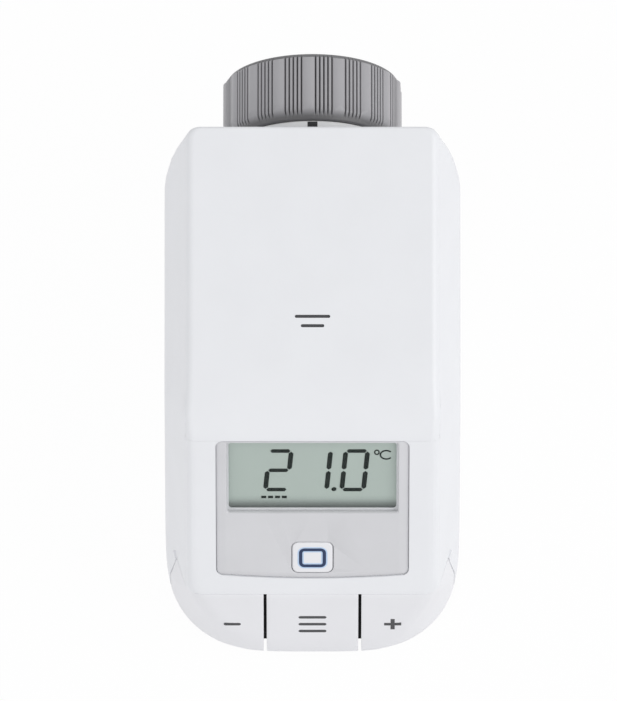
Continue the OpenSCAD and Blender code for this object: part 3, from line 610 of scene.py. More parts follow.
def panel_line(half, top, low, r, bulge, n=7):
    """Outline (x, s) of a panel with round corners, whose lower edge is a shallow arc, as two arrays."""
    turn = np.linspace(0, math.pi / 2, n)
    sine, cosine = r * np.sin(turn), r * np.cos(turn)
    arc = np.linspace(1, -1, 25)[1:-1]
    side = half - r
    x = np.concatenate([side + sine, side + cosine, side * arc, -side - sine, -side - cosine])
    s = np.concatenate([top + r - cosine, low - r + sine, low + bulge * (1 - arc**2), low - r + cosine,
                        top + r - sine])
    return x, s


def panel_cutter(outline, depths):
    """A closed form from one outline on the display face, between two depths."""
    x, s = outline
    return Shape().prism(face_space(x[None, :], s[None, :], np.array(depths)[:, None]))


front_stops = spaced((0, 0), (face_l - 2, 12), (face_l - 0.18, 6))[:, None]
front_shape = top_skin(
    panel_top + front_stops * face_dir + deep * face_in, np.tile(face_in, (len(front_stops), 1)),
    front_t, 8, False).solid(body_distance)
front_cover = piece("front_cover_skin", front_shape, "housing", white_shell, ["front_cover"])
through = (0.5, front_t + 1)
cut(front_cover,
    panel_cutter(panel_line(panel_half + panel_gap, -0.03, panel_l + panel_gap, panel_r + panel_gap,
                            panel_bulge), (-2, bezel_t + 0.02)),
    panel_cutter(panel_line(window_half - 0.3, window_top + 0.5, window_low - 0.4, 0.6, 0), through),
    panel_cutter(panel_line(button_half - 0.6, button_top + 0.6, button_low - 0.6, 0.6, 0), through))

# ---------------------------------------------------------------- housing
def line_height(anchor, heading, line, low, high):
    """Height at which level rays meet the body's skin on a line, whose value is negative below it."""
    low, high = np.full(len(anchor), float(low)), np.full(len(anchor), float(high))
    for _ in range(26):
        middle = (low + high) / 2
        hit = reach(body_distance, vec(anchor[:, 0], anchor[:, 1], middle),
                    vec(heading[:, 0], heading[:, 1], 0), steps=26)
        above = line(hit) > 0
        low, high = np.where(above, low, middle), np.where(above, middle, high)
    return (low + high) / 2


def seam_line(p):
    """Height over the seam under the covers, which lies a little deeper under the front cover."""
    down = (p[..., 1] - panel_top[0]) * face_dir[0] + (p[..., 2] - panel_top[1]) * face_dir[1]
    step = np.clip(down / 0.4 + 0.5, 0, 1)
    return top_distance(p[..., 1], p[..., 2]) + cover_t + seam + (front_t - cover_t) * step


def key_line(y, gap=0.0, spread=0.0):
    """Height of the plane that parts the keys from what is above, less a gap that spreads inwards."""
    into = (y - crease[0]) / key_in[0]
    return crease[1] + into * key_in[1] - gap - spread * into


rear_in = rear_y - inset
foot_r = 3.0           # how far above the base the rays start to turn down
side_n = 52
side_y = np.linspace(rear_in, key_back_y, side_n)
corner_turn = np.linspace(math.pi / 2, 0, 13)[1:-1]
across = np.linspace(0, inset_x, 9)
anchor = np.vstack([
    np.stack([across, np.full(9, rear_in)], 1), np.tile([inset_x, rear_in], (len(corner_turn), 1)),
    np.stack([np.full(side_n, inset_x), side_y], 1)])
heading = np.vstack([
    np.tile([0.0, 1.0], (9, 1)), np.stack([np.cos(corner_turn), np.sin(corner_turn)], 1),
    np.tile([1.0, 0.0], (side_n, 1))])
seam_z = line_height(anchor, heading, seam_line, -30, top_z)
ramp_z = np.maximum(base_z, base_z + ramp + anchor[:, 1] - rear_y)
low_z = np.where(ramp_z > base_z, ramp_z + 0.6, base_z) + foot_r
back_key_z = key_line(key_back_y)
foot_z = base_z + foot_r
split_z = low_z + (back_key_z - foot_z) * (seam_z - low_z) / (seam_z - foot_z)
split_z[-1] = back_key_z
upper = spaced((0, 0), (1, 26))[:, None]
lower = spaced((0, 0), (1, 12))[:, None]
wall_z = np.vstack([seam_z + upper * (split_z - seam_z), (split_z + lower * (low_z - split_z))[1:]])
housing_skin = Skin()
housing_skin.grid(vec(anchor[:, 0], anchor[:, 1], wall_z), vec(heading[:, 0], heading[:, 1], 0))
drop = np.linspace(0, math.pi / 2, 11)[:, None]
housing_skin.grid(
    vec(anchor[:, 0], anchor[:, 1], low_z)[None],
    vec(heading[:, 0] * np.cos(drop), heading[:, 1] * np.cos(drop), -np.sin(drop)))
housing_skin.grid(vec(across[None, :], side_y[:, None], low_z[-side_n:, None]), vec(0, 0, -1))
tip_depth = (front_t + seam) / math.cos(face_slope) / (math.tan(face_slope) - key_in[1] / key_in[0])
tip_y = np.linspace(key_back_y, crease[0] + tip_depth + 0.05, 7)
tip_top = line_height(np.stack([np.full(7, inset_x), tip_y], 1), np.tile([1.0, 0.0], (7, 1)), seam_line,
                      -30, top_z)
tip_z = tip_top + upper * (key_line(tip_y) - tip_top)
housing_skin.grid(vec(inset_x, tip_y, tip_z), vec(1, 0, 0))
housing = piece("housing_skin", housing_skin.solid(body_distance, wall), "housing", white_shell,
                ["lower_housing"])

nose_step = 6.8        # from the keys' rear line forward to the nose's front


def nose_distance(p):
    """Distance outside the part of the housing behind the keys."""
    x, y, z = p[..., 0], p[..., 1], p[..., 2]
    sides = plan_distance(x, y) + np.where(y > key_back_y, 1.0, nose_inset)
    slope = beyond(y, z, crease + nose_inset * key_in, -key_in)
    form = rounded(sides, rounded(slope, key_back_y - nose_step - y, 0.3), 0.8)
    return np.maximum(form, np.maximum(base_z - z, z - back_key_z))


nose_x, nose_turns = 12.0, 15
turn = np.linspace(0, math.pi / 2, nose_turns)
nose_anchor = np.vstack([
    [[nose_x, key_back_y + 1.6]], [[nose_x, key_back_y + 0.01]],
    np.tile([nose_x, key_back_y - 0.01], (nose_turns, 1)),
    np.stack([np.linspace(nose_x, 0, 7)[1:], np.full(6, key_back_y - 0.01)], 1)])
nose_heading = np.vstack([
    [[1, 0]], [[1, 0]], np.stack([np.cos(turn), -np.sin(turn)], 1), np.tile([0, -1], (6, 1))])
nose_z = np.concatenate([
    np.linspace(back_key_z - 0.02, key_line(crease[0]) - 8.2, 8), [base_z + 0.9, base_z + 0.25, base_z]])
rim = reach(nose_distance, vec(nose_anchor[:, 0], nose_anchor[:, 1], (nose_z + 1e-6)[:, None]),
            vec(nose_heading[:, 0], nose_heading[:, 1], 0))
join(housing, Shape().prism(np.concatenate([rim, (rim * [-1, 1, 1])[:, -2::-1]], axis=1)))

boss_r, boss_h, boss_bore = 3.2, 5.0, 1.3
recess_r, recess_h = 2.6, 2.2
screw_x, screw_y = 22, key_back_y + 7
collar_hole = 12.65
around = round_turn(32)


def upright(x, y, r, low, high):
    """Rings of an upright round post."""
    return vec(x + r * np.cos(around), y + r * np.sin(around), np.array([low, high])[:, None])


groove_x = np.array([rail_x - 0.2, rail_x + rail_w + tongue_w + 0.2])[[0, 1, 1, 0]]
groove_depth = np.array([tongue_top - 0.15, rail_depth + 0.2])[[0, 0, 1, 1]]
groove_ends = np.array([3.0, deck_l + 4.0])[:, None]
bosses, holes = Shape(), Shape()
for side in (-1, 1):
    bosses.prism(upright(side * screw_x, screw_y, boss_r, base_z + 1, base_z + boss_h))
    holes.prism(upright(side * screw_x, screw_y, boss_bore, base_z + 1.5, base_z + boss_h + 1))
    holes.prism(upright(side * screw_x, screw_y, recess_r, base_z - 1, base_z + recess_h))
    holes.prism(deck_space(side * groove_x, groove_ends, groove_depth))
holes.prism(vec(collar_hole * np.cos(around), np.array([rear_y + 2, rear_y - wall - 2])[:, None],
                collar_hole * np.sin(around)))
join(housing, bosses)
cut(housing, holes)

# ---------------------------------------------------------------- keys
slit_x, slit_w = 9.15, 0.6
key_gap, key_swing = 0.1, 0.62   # behind the keys' sides, at their top and their bottom
key_low = chin_low[1] - 0.15
line_gap, line_spread = 0.05, 0.024   # over the keys, at the skin and for each millimetre inwards
hinge_at = crease + 2.9 * key_in + 1.7 * key_dir
hinge_end = 20.0       # how far out the outer keys' hinges reach
pin_r, barrel_r, web_half, web_l, nub_r = 0.6, 0.9, 0.5, 1.6, 1.2
pin_in, barrel_in, web_in = 0.15, 1.1, 1.6   # from a hinge's ends
switch_z, switch_x = base_z + 6.5, 15.5
nub_tip = key_back_y - nose_step - 2.05 - 0.73


def key_top_line(p):
    """Height over the plane along the keys' upper edges."""
    return p[..., 2] - key_line(p[..., 1], line_gap, line_spread)


def rod(x0, x1, at, r):
    """Rings of a round rod that runs across the body."""
    return vec(np.array([x0, x1])[:, None], at[0] + r * np.cos(around), at[1] + r * np.sin(around))


def key_plate(node_name, columns, headings, hinge_x, nub_x):
    """A key's plate: level rays from behind reach its skin, with a second skin inside. Its hinge and the
    nub that meets its switch are added behind it."""
    top = line_height(columns, headings, key_top_line, key_low + 1, crease[1] + 1)
    down = spaced((0, 0), (0.08, 3), (0.9, 14), (1, 4))[:, None]
    start = vec(columns[:, 0], columns[:, 1], top + down * (key_low - top))
    in_middle = columns[0, 0] == 0
    if not in_middle:
        start[:, -1, 1] -= key_gap + (key_swing - key_gap) * down[:, 0]
    skin = Skin()
    skin.grid(start, vec(headings[:, 0], headings[:, 1], 0), sides=(1, -1) if in_middle else (1,))
    body = node_name.split("_")[0]
    made = piece(f"{node_name}_plate", skin.solid(body_distance, key_t), body, white_key, [node_name])
    soften(made, 0.16)
    x0, x1 = hinge_x
    up, out = web_half * key_dir, web_l * key_in
    web = np.array([hinge_at + up, hinge_at - up, hinge_at - up - out, hinge_at + up - out])
    behind = Shape()
    behind.prism(rod(x0 + barrel_in, x1 - barrel_in, hinge_at, barrel_r))
    behind.prism(rod(x0 + pin_in, x1 - pin_in, hinge_at, pin_r))
    behind.prism(vec(np.array([[x0 + web_in], [x1 - web_in]]), web[:, 0], web[:, 1]))
    behind.prism(vec(nub_x + nub_r * np.cos(around), np.array([[nub_tip], [chin[0] + 2.4]]),
                     switch_z + nub_r * np.sin(around)))
    add(made, behind)


fan_x, fan_y = 16.0, key_back_y - 1.7   # where the rays of an outer key fan out
turn = np.linspace(0, math.pi / 2, 22)
right_columns = np.vstack([
    np.stack([np.linspace(slit_x + slit_w / 2, fan_x, 9)[:-1], np.full(8, fan_y)], 1),
    np.tile([fan_x, fan_y], (22, 1)), [[fan_x, key_back_y]]])
right_headings = np.vstack([
    np.tile([0.0, -1.0], (8, 1)), np.stack([np.sin(turn), -np.cos(turn)], 1), [[1.0, 0.0]]])
flip = np.array([-1, 1])
menu_columns = np.stack([np.linspace(0, slit_x - slit_w / 2, 10), np.full(10, fan_y)], 1)
key_plate("plus_key", right_columns, right_headings, (slit_x, hinge_end), switch_x)
key_plate("minus_key", right_columns * flip, right_headings * flip, (-hinge_end, -slit_x), -switch_x)
key_plate("menu_key", menu_columns, np.tile([0.0, -1.0], (10, 1)), (-slit_x, slit_x), 0.0)

slit_shade_half = 0.45        # dark strips behind the slits: painted shade that closes the view through them
slit_shade_ends = np.array([[3.3], [17.2]])
slit_shade_depth = np.array([2.45, nose_inset + 0.2])[[0, 0, 1, 1]]
# these strips paint the shade in the slits between the keys
ribs = Shape()
for side in (-1, 1):
    ribs.prism(key_space(side * slit_x + slit_shade_half * np.array([-1, 1, 1, -1]), slit_shade_ends, slit_shade_depth))
piece("slit_painted_shade", ribs, "housing", dark_rubber_and_shade)

mark_x, mark_s, mark_half, mark_t = 15.5, 9.3, 1.65, 0.8
menu_half, menu_pitch = 2.7, 2.2
proud, sunk = -0.015, 0.2


def key_mark(name, body, bars):
    """Dark printed strokes on a key, each a thin bar: half its length and its place."""
    shape = Shape()
    for half, x, s in bars:
        shape.prism(bar(key_space, half, s - mark_t / 2, mark_t, proud, sunk, x))
    piece(name, shape, body, print_and_shade_dark)


key_mark("minus_mark", "minus", [(mark_half, -mark_x, mark_s)])
stroke_half = mark_t / 2
cross_x = np.array([-1, 1, 1, 0, 0, 1, 1, -1, -1, 0, 0, -1]) * stroke_half
cross_x += np.array([0, 0, 0, 1, 1, 0, 0, 0, 0, -1, -1, 0]) * mark_half
plus_shape = Shape().prism(key_space(
    mark_x + cross_x[None, :], mark_s + np.roll(cross_x, 3)[None, :], np.array([proud, sunk])[:, None]))
piece("plus_mark", plus_shape, "plus", print_and_shade_dark)
key_mark("menu_mark", "menu", [(menu_half, 0, mark_s + k * menu_pitch) for k in (-1, 0, 1)])

# ---------------------------------------------------------------- union nut
lobes, lobe_r, rib_r, groove_r = 18, 17.4, 17.1, 16.5
lobe_turn = -2.6       # degrees from straight up to the nearest lobe
grooves, groove_pitch = 5, 2.7
pitch = 1.5
thread_minor, thread_major, thread_end = 14.188, 15.0, -8.4
relief_r, relief_end, lip_r = 14.588, -11.3, 12.9
nut_edge_r = 16.3      # outer radius at the open end


def nut_pattern():
    """Angles and radii once round the grip: each lobe is a low crown, and between two lobes lie five
    grooves with four ribs between them."""
    crown = [(3.75, 0.34), (2.6, 0.13), (1.2, 0.03)]
    sector = [(-turn, lobe_r - fall) for turn, fall in crown] + [(0, lobe_r)]
    sector += [(turn, lobe_r - fall) for turn, fall in crown[::-1]]
    for k in range(grooves):
        at = 4 + groove_pitch * k
        crest = rib_r if k else lobe_r - 0.3
        sector += [(at, crest - 0.06), (at + 0.25, groove_r + 0.1), (at + 0.6, groove_r),
                   (at + 0.95, groove_r + 0.1)]
        last = k == grooves - 1
        sector += [(at + 1.2, lobe_r - 0.36)] if last else [(at + 1.2, rib_r - 0.06), (at + 1.95, rib_r)]
    sector = np.array(sector)
    angles = np.concatenate([sector[:, 0] + k * 360 / lobes for k in range(lobes)])
    return np.radians(angles + lobe_turn), np.tile(sector[:, 1], lobes)


def nut_painted_shade(tree, place, colour):
    """The nut's colour with painted shade: darker deep between its ribs and towards the case, though not
    in its bore.
    """
    flat = node(tree, "VectorMath", {0: place, 1: (1 / MM, 0, 1 / MM)}, operation="MULTIPLY").outputs[0]
    radius = node(tree, "VectorMath", {0: flat}, operation="LENGTH").outputs["Value"]
    y = node(tree, "SeparateXYZ", {0: place}).outputs["Y"]
    # painted shade deep in the grooves between the ribs
    grip = ranged(tree, radius, groove_r, rib_r, 0.36)
    bore = ranged(tree, radius, groove_r - 0.3, thread_major + 0.4, 0, 0.85)
    # painted shadow of the case, darker towards the nut's end that meets it
    rear = ranged(tree, y, nut_end * MM, (nut_end + 3.4) * MM, 0.76)
    shade = maths(tree, "MULTIPLY", maths(tree, "MAXIMUM", grip, bore), rear)
    return node(tree, "VectorMath", {0: colour, "Scale": shade}, operation="SCALE").outputs[0]


# the nut's colour carries painted shade in its grooves and towards the case
nut_plastic = moulded("nut_plastic", tone(170, 169, 172), rough=0.34, over=nut_painted_shade)
nut_angle, nut_r = nut_pattern()
shoulder = np.vstack([  # how far the grip reaches out at each distance from the nut's end
    [[0, 16.1], [0.1, 16.28], [0.3, 16.38], [0.76, 16.5]],
    np.linspace([1.0, 16.62], [2.7, lobe_r], 8), np.linspace([3.1, lobe_r], [12.4, lobe_r], 5),
    [[12.5, 17.36], [12.6, 17.1], [12.75, 16.85], [12.9, 16.6], [13.2, 16.6], [13.38, 16.5],
     [13.5, nut_edge_r]]])
outer_rows = np.minimum(nut_r[None, :], shoulder[:, 1:])
bore_y = -np.arange(0, -thread_end - 0.1, pitch / 8)[:, None]
wave = np.abs((bore_y / pitch + nut_angle / (2 * math.pi)) % 1 - 0.5) * 2
thread = thread_minor + (thread_major - thread_minor) * np.clip(wave * 1.3 - 0.15, 0, 1)
bore_rows = np.maximum(thread, thread_major + 0.35 + bore_y)
inner = np.array([
    [thread_end, thread_minor], [thread_end, relief_r], [relief_end, relief_r], [relief_end, lip_r],
    [nut_end + 0.2, lip_r], [nut_end, lip_r + 0.2], [nut_end, shoulder[0, 1]]])
ring_y = np.concatenate([nut_end + shoulder[:, 0], bore_y[:, 0], inner[:, 0]])[:, None]
ring_r = np.vstack([outer_rows, bore_rows, np.tile(inner[:, 1:], len(nut_angle))])
nut_shape = Shape().grid(vec(ring_r * np.sin(nut_angle), ring_y, ring_r * np.cos(nut_angle)), loop=True)
piece("union_nut_grip", nut_shape, "nut", nut_plastic, ["union_nut"], sharp=55)

# the white ring between the nut and the case, and a dark block in it: painted shade seen through a notch
# in the ring
shroud_end, shroud_r = nut_end - 0.12, 12.7
shroud = np.array([
    [shroud_end, shroud_r], [shroud_end, 15.9], [nut_end - 0.35, 16.0], [rear_y + 0.1, 13.6],
    [rear_y + 0.1, shroud_r], [shroud_end, shroud_r]])
turn = round_turn(96)
shroud_shape = Shape().grid(
    vec(shroud[:, 1:] * np.sin(turn), shroud[:, :1], shroud[:, 1:] * np.cos(turn)), loop=True)
piece("collar_shroud", shroud_shape, "housing", collar_white)
notch_shade_half = 0.95
notch_shade = np.array([[nut_end - 0.3, 14.6], [nut_end - 0.3, 16.05], [rear_y + 0.05, 13.68],
                  [rear_y + 0.05, 12.9]])
notch_shade_shape = Shape().prism(vec(np.array([[-notch_shade_half], [notch_shade_half]]), notch_shade[:, 0], notch_shade[:, 1]))
piece("collar_notch_shade", notch_shade_shape, "housing", dark_rubber_and_shade)

# ---------------------------------------------------------------- display panel, window and button
def layered(half, top, low, r, bulge, layers):
    """Rings of a panel whose edge is rounded over: each layer is (inset, inset at the top, depth)."""
    rings = []
    for side, end, depth in layers:
        x, s = panel_line(half - side, top + end, low - side * 0.6, max(r - side, 0.25), bulge)
        rings.append(face_space(x, s, depth))
    return np.array(rings)


def flared(half, top, low, r, top_share, layers):
    """Rings of an opening that widens towards the skin: each layer is (flare, depth)."""
    return np.array([
        face_space(*panel_line(half + flare, top - flare * top_share, low + flare, r, 0), depth)
        for flare, depth in layers])


bezel_shape = Shape().prism(layered(panel_half, 0.06, panel_l, panel_r, panel_bulge, [
    (0, 0, bezel_t), (0, 0, 0.46), (0.05, 0.04, 0.36), (0.2, 0.1, 0.28), (0.8, 0.18, 0.17),
    (1.4, 0.24, 0.06), (1.8, 0.28, 0), (2.05, 0.34, 0)]))
bezel = piece("display_panel", bezel_shape, "housing", bezel_grey, ["display_bezel"])
bezel_back = bezel_t + 1
window_r, button_r = 0.35, 1.25
cut(bezel,
    Shape().prism(flared(window_half, window_top, window_low, window_r, 0.6,
                         [(0.22, -0.02), (0, 0.28), (0, bezel_back)])),
    Shape().prism(flared(button_half, button_top, button_low, button_r + 0.1, 1,
                         [(0.32, -0.02), (0.16, 0.14), (0.16, bezel_back)])))

window_clear = bpy.data.materials.new("window_clear")
window_tree = emptied(window_clear)
window_shader = node(window_tree, "BsdfPrincipled", {
    "Base Color": (*tone(120, 126, 123), 1), "Roughness": 0.06, "Alpha": 0.05, "IOR": 1.49})
node(window_tree, "OutputMaterial", {"Surface": window_shader.outputs["BSDF"]})
window_gap = 0.05
window_shape = Shape().prism(layered(
    window_half - window_gap, window_top + window_gap, window_low - window_gap, window_r, 0,
    [(0, 0, bezel_t), (0, 0, 0.32), (0.06, 0.06, 0.26)]))
piece("display_window_plate", window_shape, "housing", window_clear, ["display_window"])


def shadowed_lcd_material():
    """The display's glass: grey-green, with painted shadow of the panel's edges in a band along its lower
    edge and at both sides.
    """
    material = bpy.data.materials.new("display_glass")
    tree = emptied(material)
    place = node(tree, "TexCoord").outputs["Object"]
    low_s = panel_top @ face_dir + window_low
    # painted shadow of the window's lower edge, in a band along the glass's lower edge
    lower = ranged(tree, along(tree, place, face_dir), low_s - 3.3, low_s - 0.6)
    x = maths(tree, "ABSOLUTE", node(tree, "SeparateXYZ", {0: place}).outputs["X"])
    # painted shadow of the window's sides, at both sides of the glass
    sides = ranged(tree, x, (window_half - 0.75) * MM, window_half * MM, 0, 0.62)
    colour = colour_ramp(tree, maths(tree, "MAXIMUM", lower, sides), [
        (0, tone(187, 200, 193)), (0.35, tone(174, 186, 180)), (0.7, tone(132, 141, 137)),
        (1, tone(88, 94, 92))])
    shader = node(tree, "BsdfPrincipled", {"Base Color": colour, "Roughness": 0.35})
    node(tree, "OutputMaterial", {"Surface": shader.outputs["BSDF"]})
    return material


lcd_depth, lcd_t, lcd_top = bezel_t + 0.2, 1.6, 0.7   # under the panel, behind its window
lcd_x = np.array([-1, 1, 1, -1]) * (window_half - 0.02)
lcd_s = np.array([lcd_top, lcd_top, window_low, window_low])
lcd_shape = Shape().prism(face_space(lcd_x, lcd_s, np.array([[lcd_depth], [lcd_depth + lcd_t]])))
piece("lcd_plate", lcd_shape, "housing", shadowed_lcd_material(), ["lcd_glass"])

digit_ink = moulded("display_segments", tone(20, 29, 27), rough=0.5, mottle=0.03, mottle_mm=2,
                    specular=0.08)
slant = math.tan(math.radians(5))
digit_top, digit_low, digit_half = 2.67, 12.44, 2.55   # down the display face, and half a width
digit_middle = (digit_top + digit_low) / 2
upright_half, level_half, segment_gap = 0.46, 0.4, 0.16
ink_top, ink_low = lcd_depth - 0.04, lcd_depth + 0.05
ink_depth = np.array([[ink_top], [ink_low]])
ink = Shape()


def ink_prism(x, s):
    """Adds an outline on the display, leaning with the digits."""
    ink.prism(face_space(x + (digit_middle - s) * slant, s, ink_depth))


def segment(x0, s0, x1, s1, w):
    """A straight segment with pointed ends, half its width being w."""
    length = math.hypot(x1 - x0, s1 - s0)
    ux, us = (x1 - x0) / length, (s1 - s0) / length
    point = w * 0.85
    steps = np.array([0, point, length - point, length, length - point, point])
    out = np.array([0, w, w, 0, -w, -w])
    ink_prism(x0 + ux * steps - us * out, s0 + us * steps + ux * out)


def digit(x, lit):
    """A seven-segment digit: its centre, and the segments that show, a to g clockwise from the top."""
    left, right = x - digit_half + upright_half, x + digit_half - upright_half
    top, low, middle, gap = digit_top + level_half, digit_low - level_half, digit_middle, segment_gap
    level = {"a": top, "d": low, "g": middle}
    upright_ends = {"b": (right, top, middle), "c": (right, middle, low), "e": (left, middle, low),
                    "f": (left, top, middle)}
    for name in lit:
        if name in level:
            segment(left + gap, level[name], right - gap, level[name], level_half)
        else:
            at, start, end = upright_ends[name]
            segment(at, start + gap, at, end - gap, upright_half)


def stroke(x, s, w, top, low, closed):
    """Rings of a flat line along points on the display face: half its width, and its depths."""
    if closed:
        dx, ds = np.roll(x, -1) - np.roll(x, 1), np.roll(s, -1) - np.roll(s, 1)
    else:
        dx, ds = np.gradient(x), np.gradient(s)
    length = np.hypot(dx, ds)
    nx, ns = -ds / length * w, dx / length * w
    corners = ((-1, top), (1, top), (1, low), (-1, low))
    rings = np.stack([face_space(x + side * nx, s + side * ns, depth) for side, depth in corners], axis=1)
    return np.concatenate([rings, rings[:1]]) if closed else rings


def oval(x, s, half_x, half_s, turn):
    """Points of an oval on the display at given angles: its middle and its half sizes."""
    return x + half_x * np.cos(turn), s + half_s * np.sin(turn)


for x, lit in ((-6.55, "abged"), (1.0, "bc"), (8.09, "abcdef")):
    digit(x, lit)
point = oval(4.5, 11.95, 0.5, 0.46, round_turn(16))
degree = oval(12.33, 3.37, 0.42, 0.5, round_turn(16))
letter = oval(14.15, 3.95, 1.15, 0.98, np.radians(np.linspace(42, 318, 25)))
ink_prism(*point)
ink.grid(stroke(*degree, 0.13, ink_top, ink_low, True), loop=True)
ink.prism(stroke(*letter, 0.15, ink_top, ink_low, False))
dash_x, dash_s, dash_l, dash_w, dash_pitch = -9.85, 13.5, 0.95, 0.55, 1.32
for k in range(4):
    ink.prism(face_space(dash_x + dash_pitch * k + dash_l * np.array([0, 1, 1, 0]),
                         dash_s + dash_w * np.array([0, 0, 1, 1]), ink_depth))
piece("display_digits", ink, "housing", digit_ink)

button_shape = Shape()
button_shape.prism(layered(button_half, button_top, button_low, button_r, 0, [
    (0, 0, bezel_t - 0.5), (0, 0, 0.3), (0.05, 0.05, 0.14), (0.16, 0.16, 0.05), (0.36, 0.36, 0.0),
    (0.5, 0.5, 0.0)]))
button_shape.prism(layered(button_half - 0.8, button_top + 0.8, button_low - 0.8, 0.6, 0, [
    (0, 0, front_t + 0.3), (0, 0, 0.45)]))
piece("button_cap", button_shape, "button", white_key, ["system_button"])

button_mid = (button_top + button_low) / 2
ring_half, ring_tall, ring_r, ring_foot = 2.28, 1.88, 0.75, 0.4
ring_x, ring_s = panel_line(ring_half, button_mid - ring_tall, button_mid + ring_tall, ring_r, 0)
apart = np.hypot(np.roll(ring_x, -1) - ring_x, np.roll(ring_s, -1) - ring_s) > 1e-6
ring_x, ring_s = ring_x[apart], ring_s[apart]


def button_ring(name, half, top, material, nodes=()):
    """A rounded-square line on the button: half its width, and how high it stands."""
    shape = Shape().grid(stroke(ring_x, ring_s, half, top, ring_foot, True), loop=True)
    piece(name, shape, "button", material, nodes)


ring_blue = moulded("ring_blue", tone(26, 48, 86), rough=0.35, mottle=0.03, mottle_mm=2)
# a pale-blue band round the ring: painted glow of the ring's light
painted_glow_blue = moulded("ring_painted_glow", tone(190, 212, 240), rough=0.4, mottle=0.02, mottle_mm=2)
button_ring("button_ring_line", 0.33, -0.03, ring_blue, ["button_light_ring"])
button_ring("button_ring_painted_glow", 0.6, -0.015, painted_glow_blue)

# ---------------------------------------------------------------- cells, springs and screws
cell_r, cell_x, cell_depth, cell_start, cell_l, stud_l = 7.1, 15.2, 10.76, 7.4, 50.0, 1.0
can_l = cell_l - stud_l
sleeve_t = 0.12


def deck_turned(x, profile):
    """Rings of a form turned about a line that runs down the deck, from (distance, radius) pairs."""
    turn = round_turn(64)
    radius = profile[:, 1:]
    return deck_space(x + radius * np.cos(turn), profile[:, :1], cell_depth + radius * np.sin(turn))


def cell_bands(tree, place, colour):
    """The sleeve's colour, with a light band near each end."""
    start = rear_top @ deck_dir + cell_start
    share = ranged(tree, along(tree, place, deck_dir), start, start + cell_l)
    dark, light = (0, 0, 0), (1, 1, 1)
    banded = colour_ramp(tree, share, [(0, dark), (0.1, light), (0.16, dark), (0.84, light), (0.9, dark)],
                         "CONSTANT")
    colours = {"Factor": banded, 6: colour, 7: (*tone(206, 210, 214), 1)}
    return node(tree, "Mix", colours, data_type="RGBA").outputs[2]


cell_print = moulded("cell_print", tone(72, 84, 98), rough=0.3, mottle=0.02, mottle_mm=12, coat=0.4,
                     over=cell_bands)
sleeve_profile = np.array([
    [0, 4.6], [0, 5.6], [0.15, 6.6], [0.25, 6.85], [0.55, cell_r], [can_l - 0.7, cell_r],
    [can_l - 0.35, 6.95], [can_l - 0.2, 6.6], [can_l - 0.3, 5.7]])
can_profile = np.array([
    [0.15, 0.1], [0.15, 4.7], [can_l - 0.9, 5.9], [can_l - 0.55, 5.8], [can_l - 0.5, 3.1],
    [can_l - 0.45, 2.85], [can_l + 0.75, 2.7], [can_l + 0.95, 2.5], [can_l + stud_l, 2.1],
    [can_l + stud_l, 0.1]])
sleeve_loop = np.vstack([sleeve_profile, sleeve_profile[::-1] - [0, sleeve_t], sleeve_profile[:1]])
for name, side in (("left", -1), ("right", 1)):
    # the left cell's stud is in front, the right cell's at the rear
    way, start = np.array([-side, 1]), np.array([cell_start + cell_l * (side > 0), 0])
    sleeve = Shape().grid(deck_turned(side * cell_x, start + way * sleeve_loop), loop=True)
    can = Shape().prism(deck_turned(side * cell_x, start + way * can_profile))
    piece(f"cell_{name}_sleeve", sleeve, "housing", cell_print, [f"battery_cell_{name}"])
    piece(f"cell_{name}_can", can, "housing", tin)

plate_half, coil_turns, wire_r = 3.6, 3, 0.17   # the springs' foot plates, coils and wire
t = np.linspace(0, 1, 97)
turn = 2 * math.pi * coil_turns * t[:, None]
tube = round_turn(8)
coil_r = (2.6 - 1.1 * t)[:, None] + wire_r * np.cos(tube)
coil_s = (cell_start - 1.05 + 0.85 * t)[:, None] + wire_r * np.sin(tube)
plate_s = np.array([[cell_start - 1.6], [cell_start - 1.2]])
spring_shape = Shape()
for side in (-1, 1):
    spring_shape.prism(deck_space(side * cell_x + plate_half * np.array([-1, 1, 1, -1]), plate_s,
                                  cell_depth + np.array([-4.2, -4.2, 1.2, 1.2])))
    spring_shape.prism(deck_space(side * cell_x + coil_r * np.cos(turn), coil_s,
                                  cell_depth - 1 + coil_r * np.sin(turn)))
piece("cell_springs", spring_shape, "housing", nickel, ["rear_contacts"])

screw_r, head_r = 0.95, 2.2
screw_profile = np.array([
    [0.8, 0.05], [0.8, 1.5], [0.95, 1.95], [1.2, head_r], [2.2, head_r], [2.2, screw_r],
    [boss_h + 2.5, screw_r], [boss_h + 3, 0.5]])
turn = round_turn(40)
screw_shape = Shape()
for side in (-1, 1):
    screw_shape.prism(vec(side * screw_x + screw_profile[:, 1:] * np.cos(turn),
                          screw_y + screw_profile[:, 1:] * np.sin(turn), base_z + screw_profile[:, :1]))
screws = piece("case_screw_heads", screw_shape, "housing", steel, ["case_screws"])
taper = np.array([[1.0], [0.7]])
recess_z = base_z + np.array([[0.6], [1.7]])
for half_x, half_y in ((1.25, 0.28), (0.28, 1.25)):
    slots = Shape()
    for side in (-1, 1):
        slots.prism(vec(side * screw_x + taper * half_x * np.array([-1, 1, 1, -1]),
                        screw_y + taper * half_y * np.array([-1, -1, 1, 1]), recess_z))
    cut(screws, slots)

# ---------------------------------------------------------------- camera, floor and light
elevation = math.radians(70.2)
distance = 2.6
view_height = 134.3 * MM
target = np.array([-0.77, -58.0, 8.9]) * MM
camera = placed("camera", bpy.data.cameras.new("camera"))
bpy.context.scene.camera = camera
camera.data.sensor_width = 36
camera.data.lens = 36 * distance / view_height
camera.location = target + distance * np.array([0, -math.cos(elevation), math.sin(elevation)])
camera.rotation_euler = (math.pi / 2 - elevation, 0, 0)
camera.data.clip_start = 0.1
camera.data.clip_end = 20


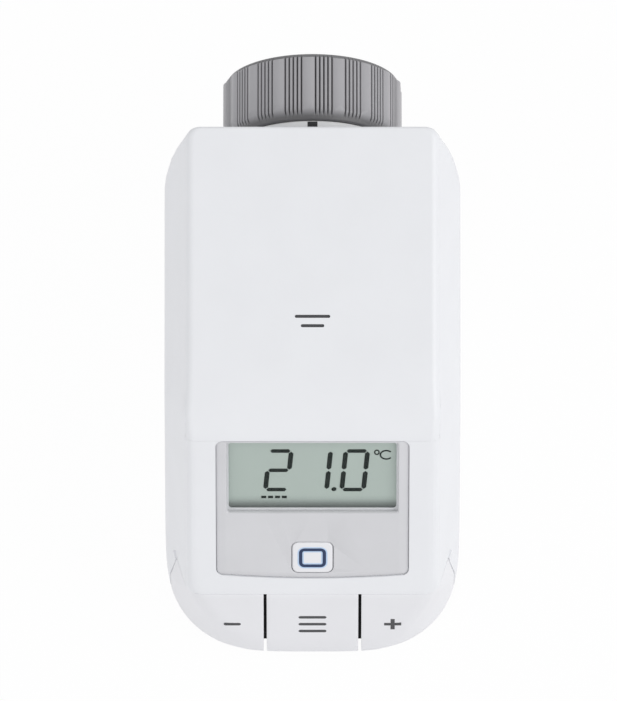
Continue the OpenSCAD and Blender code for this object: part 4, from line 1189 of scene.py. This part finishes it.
def seen_white(tree, shade, white, share=1.0):
    """Mixes a white shader over another for rays from the camera, mirrors and glass."""
    rays = node(tree, "LightPath").outputs
    seen = maths(tree, "MAXIMUM", rays["Is Camera Ray"], rays["Is Glossy Ray"])
    seen = maths(tree, "MAXIMUM", seen, rays["Is Transmission Ray"])
    part = maths(tree, "MULTIPLY", seen, share)
    return node(tree, "MixShader", {"Fac": part, 1: shade, 2: white}).outputs[0]


floor_half, floor_level = 4.0, (base_z - 0.1) * MM
floor_mesh = bpy.data.meshes.new("floor")
floor_mesh.from_pydata(
    [(x * floor_half, y * floor_half, floor_level) for x, y in ((-1, -1), (1, -1), (1, 1), (-1, 1))],
    [], [(0, 1, 2, 3)])
placed("floor", floor_mesh)
floor_paint = bpy.data.materials.new("floor_paint")
tree = emptied(floor_paint)
paint = node(tree, "BsdfDiffuse", {"Color": (0.86, 0.86, 0.87, 1)}).outputs[0]
white = node(tree, "Emission", {"Strength": 1.0}).outputs[0]
behind = node(tree, "NewGeometry").outputs["Backfacing"]
clear = node(tree, "BsdfTransparent").outputs[0]
floor_shade = seen_white(tree, paint, white, share=0.97)
floor_surface = node(tree, "MixShader", {"Fac": behind, 1: floor_shade, 2: clear}).outputs[0]
node(tree, "OutputMaterial", {"Surface": floor_surface})
floor_mesh.materials.append(floor_paint)

world = bpy.data.worlds.new("studio")
bpy.context.scene.world = world
tree = emptied(world)
soft = node(tree, "Background", {"Color": (0.985, 0.99, 1, 1), "Strength": 0.62}).outputs[0]
bright = node(tree, "Background", {"Color": (1, 1, 1, 1)}).outputs[0]
node(tree, "OutputWorld", {"Surface": seen_white(tree, soft, bright)})


def soft_box(name, place, aim, size, watts):
    """A square soft light that faces a point."""
    data = bpy.data.lights.new(name, "AREA")
    data.size = size
    data.energy = watts
    lamp = placed(name, data)
    lamp.location = place
    lamp.rotation_mode = "QUATERNION"
    lamp.rotation_quaternion = (Vector(aim) - Vector(place)).to_track_quat("-Z", "Y")


soft_box("key_light", (1.25, -0.4, 1.0), (0, -0.06, 0), 1.2, 11.1)
soft_box("fill_light", (-1.2, -0.8, 0.75), (0, -0.06, 0), 1.4, 5.6)

bpy.context.scene.view_settings.view_transform = "Standard"
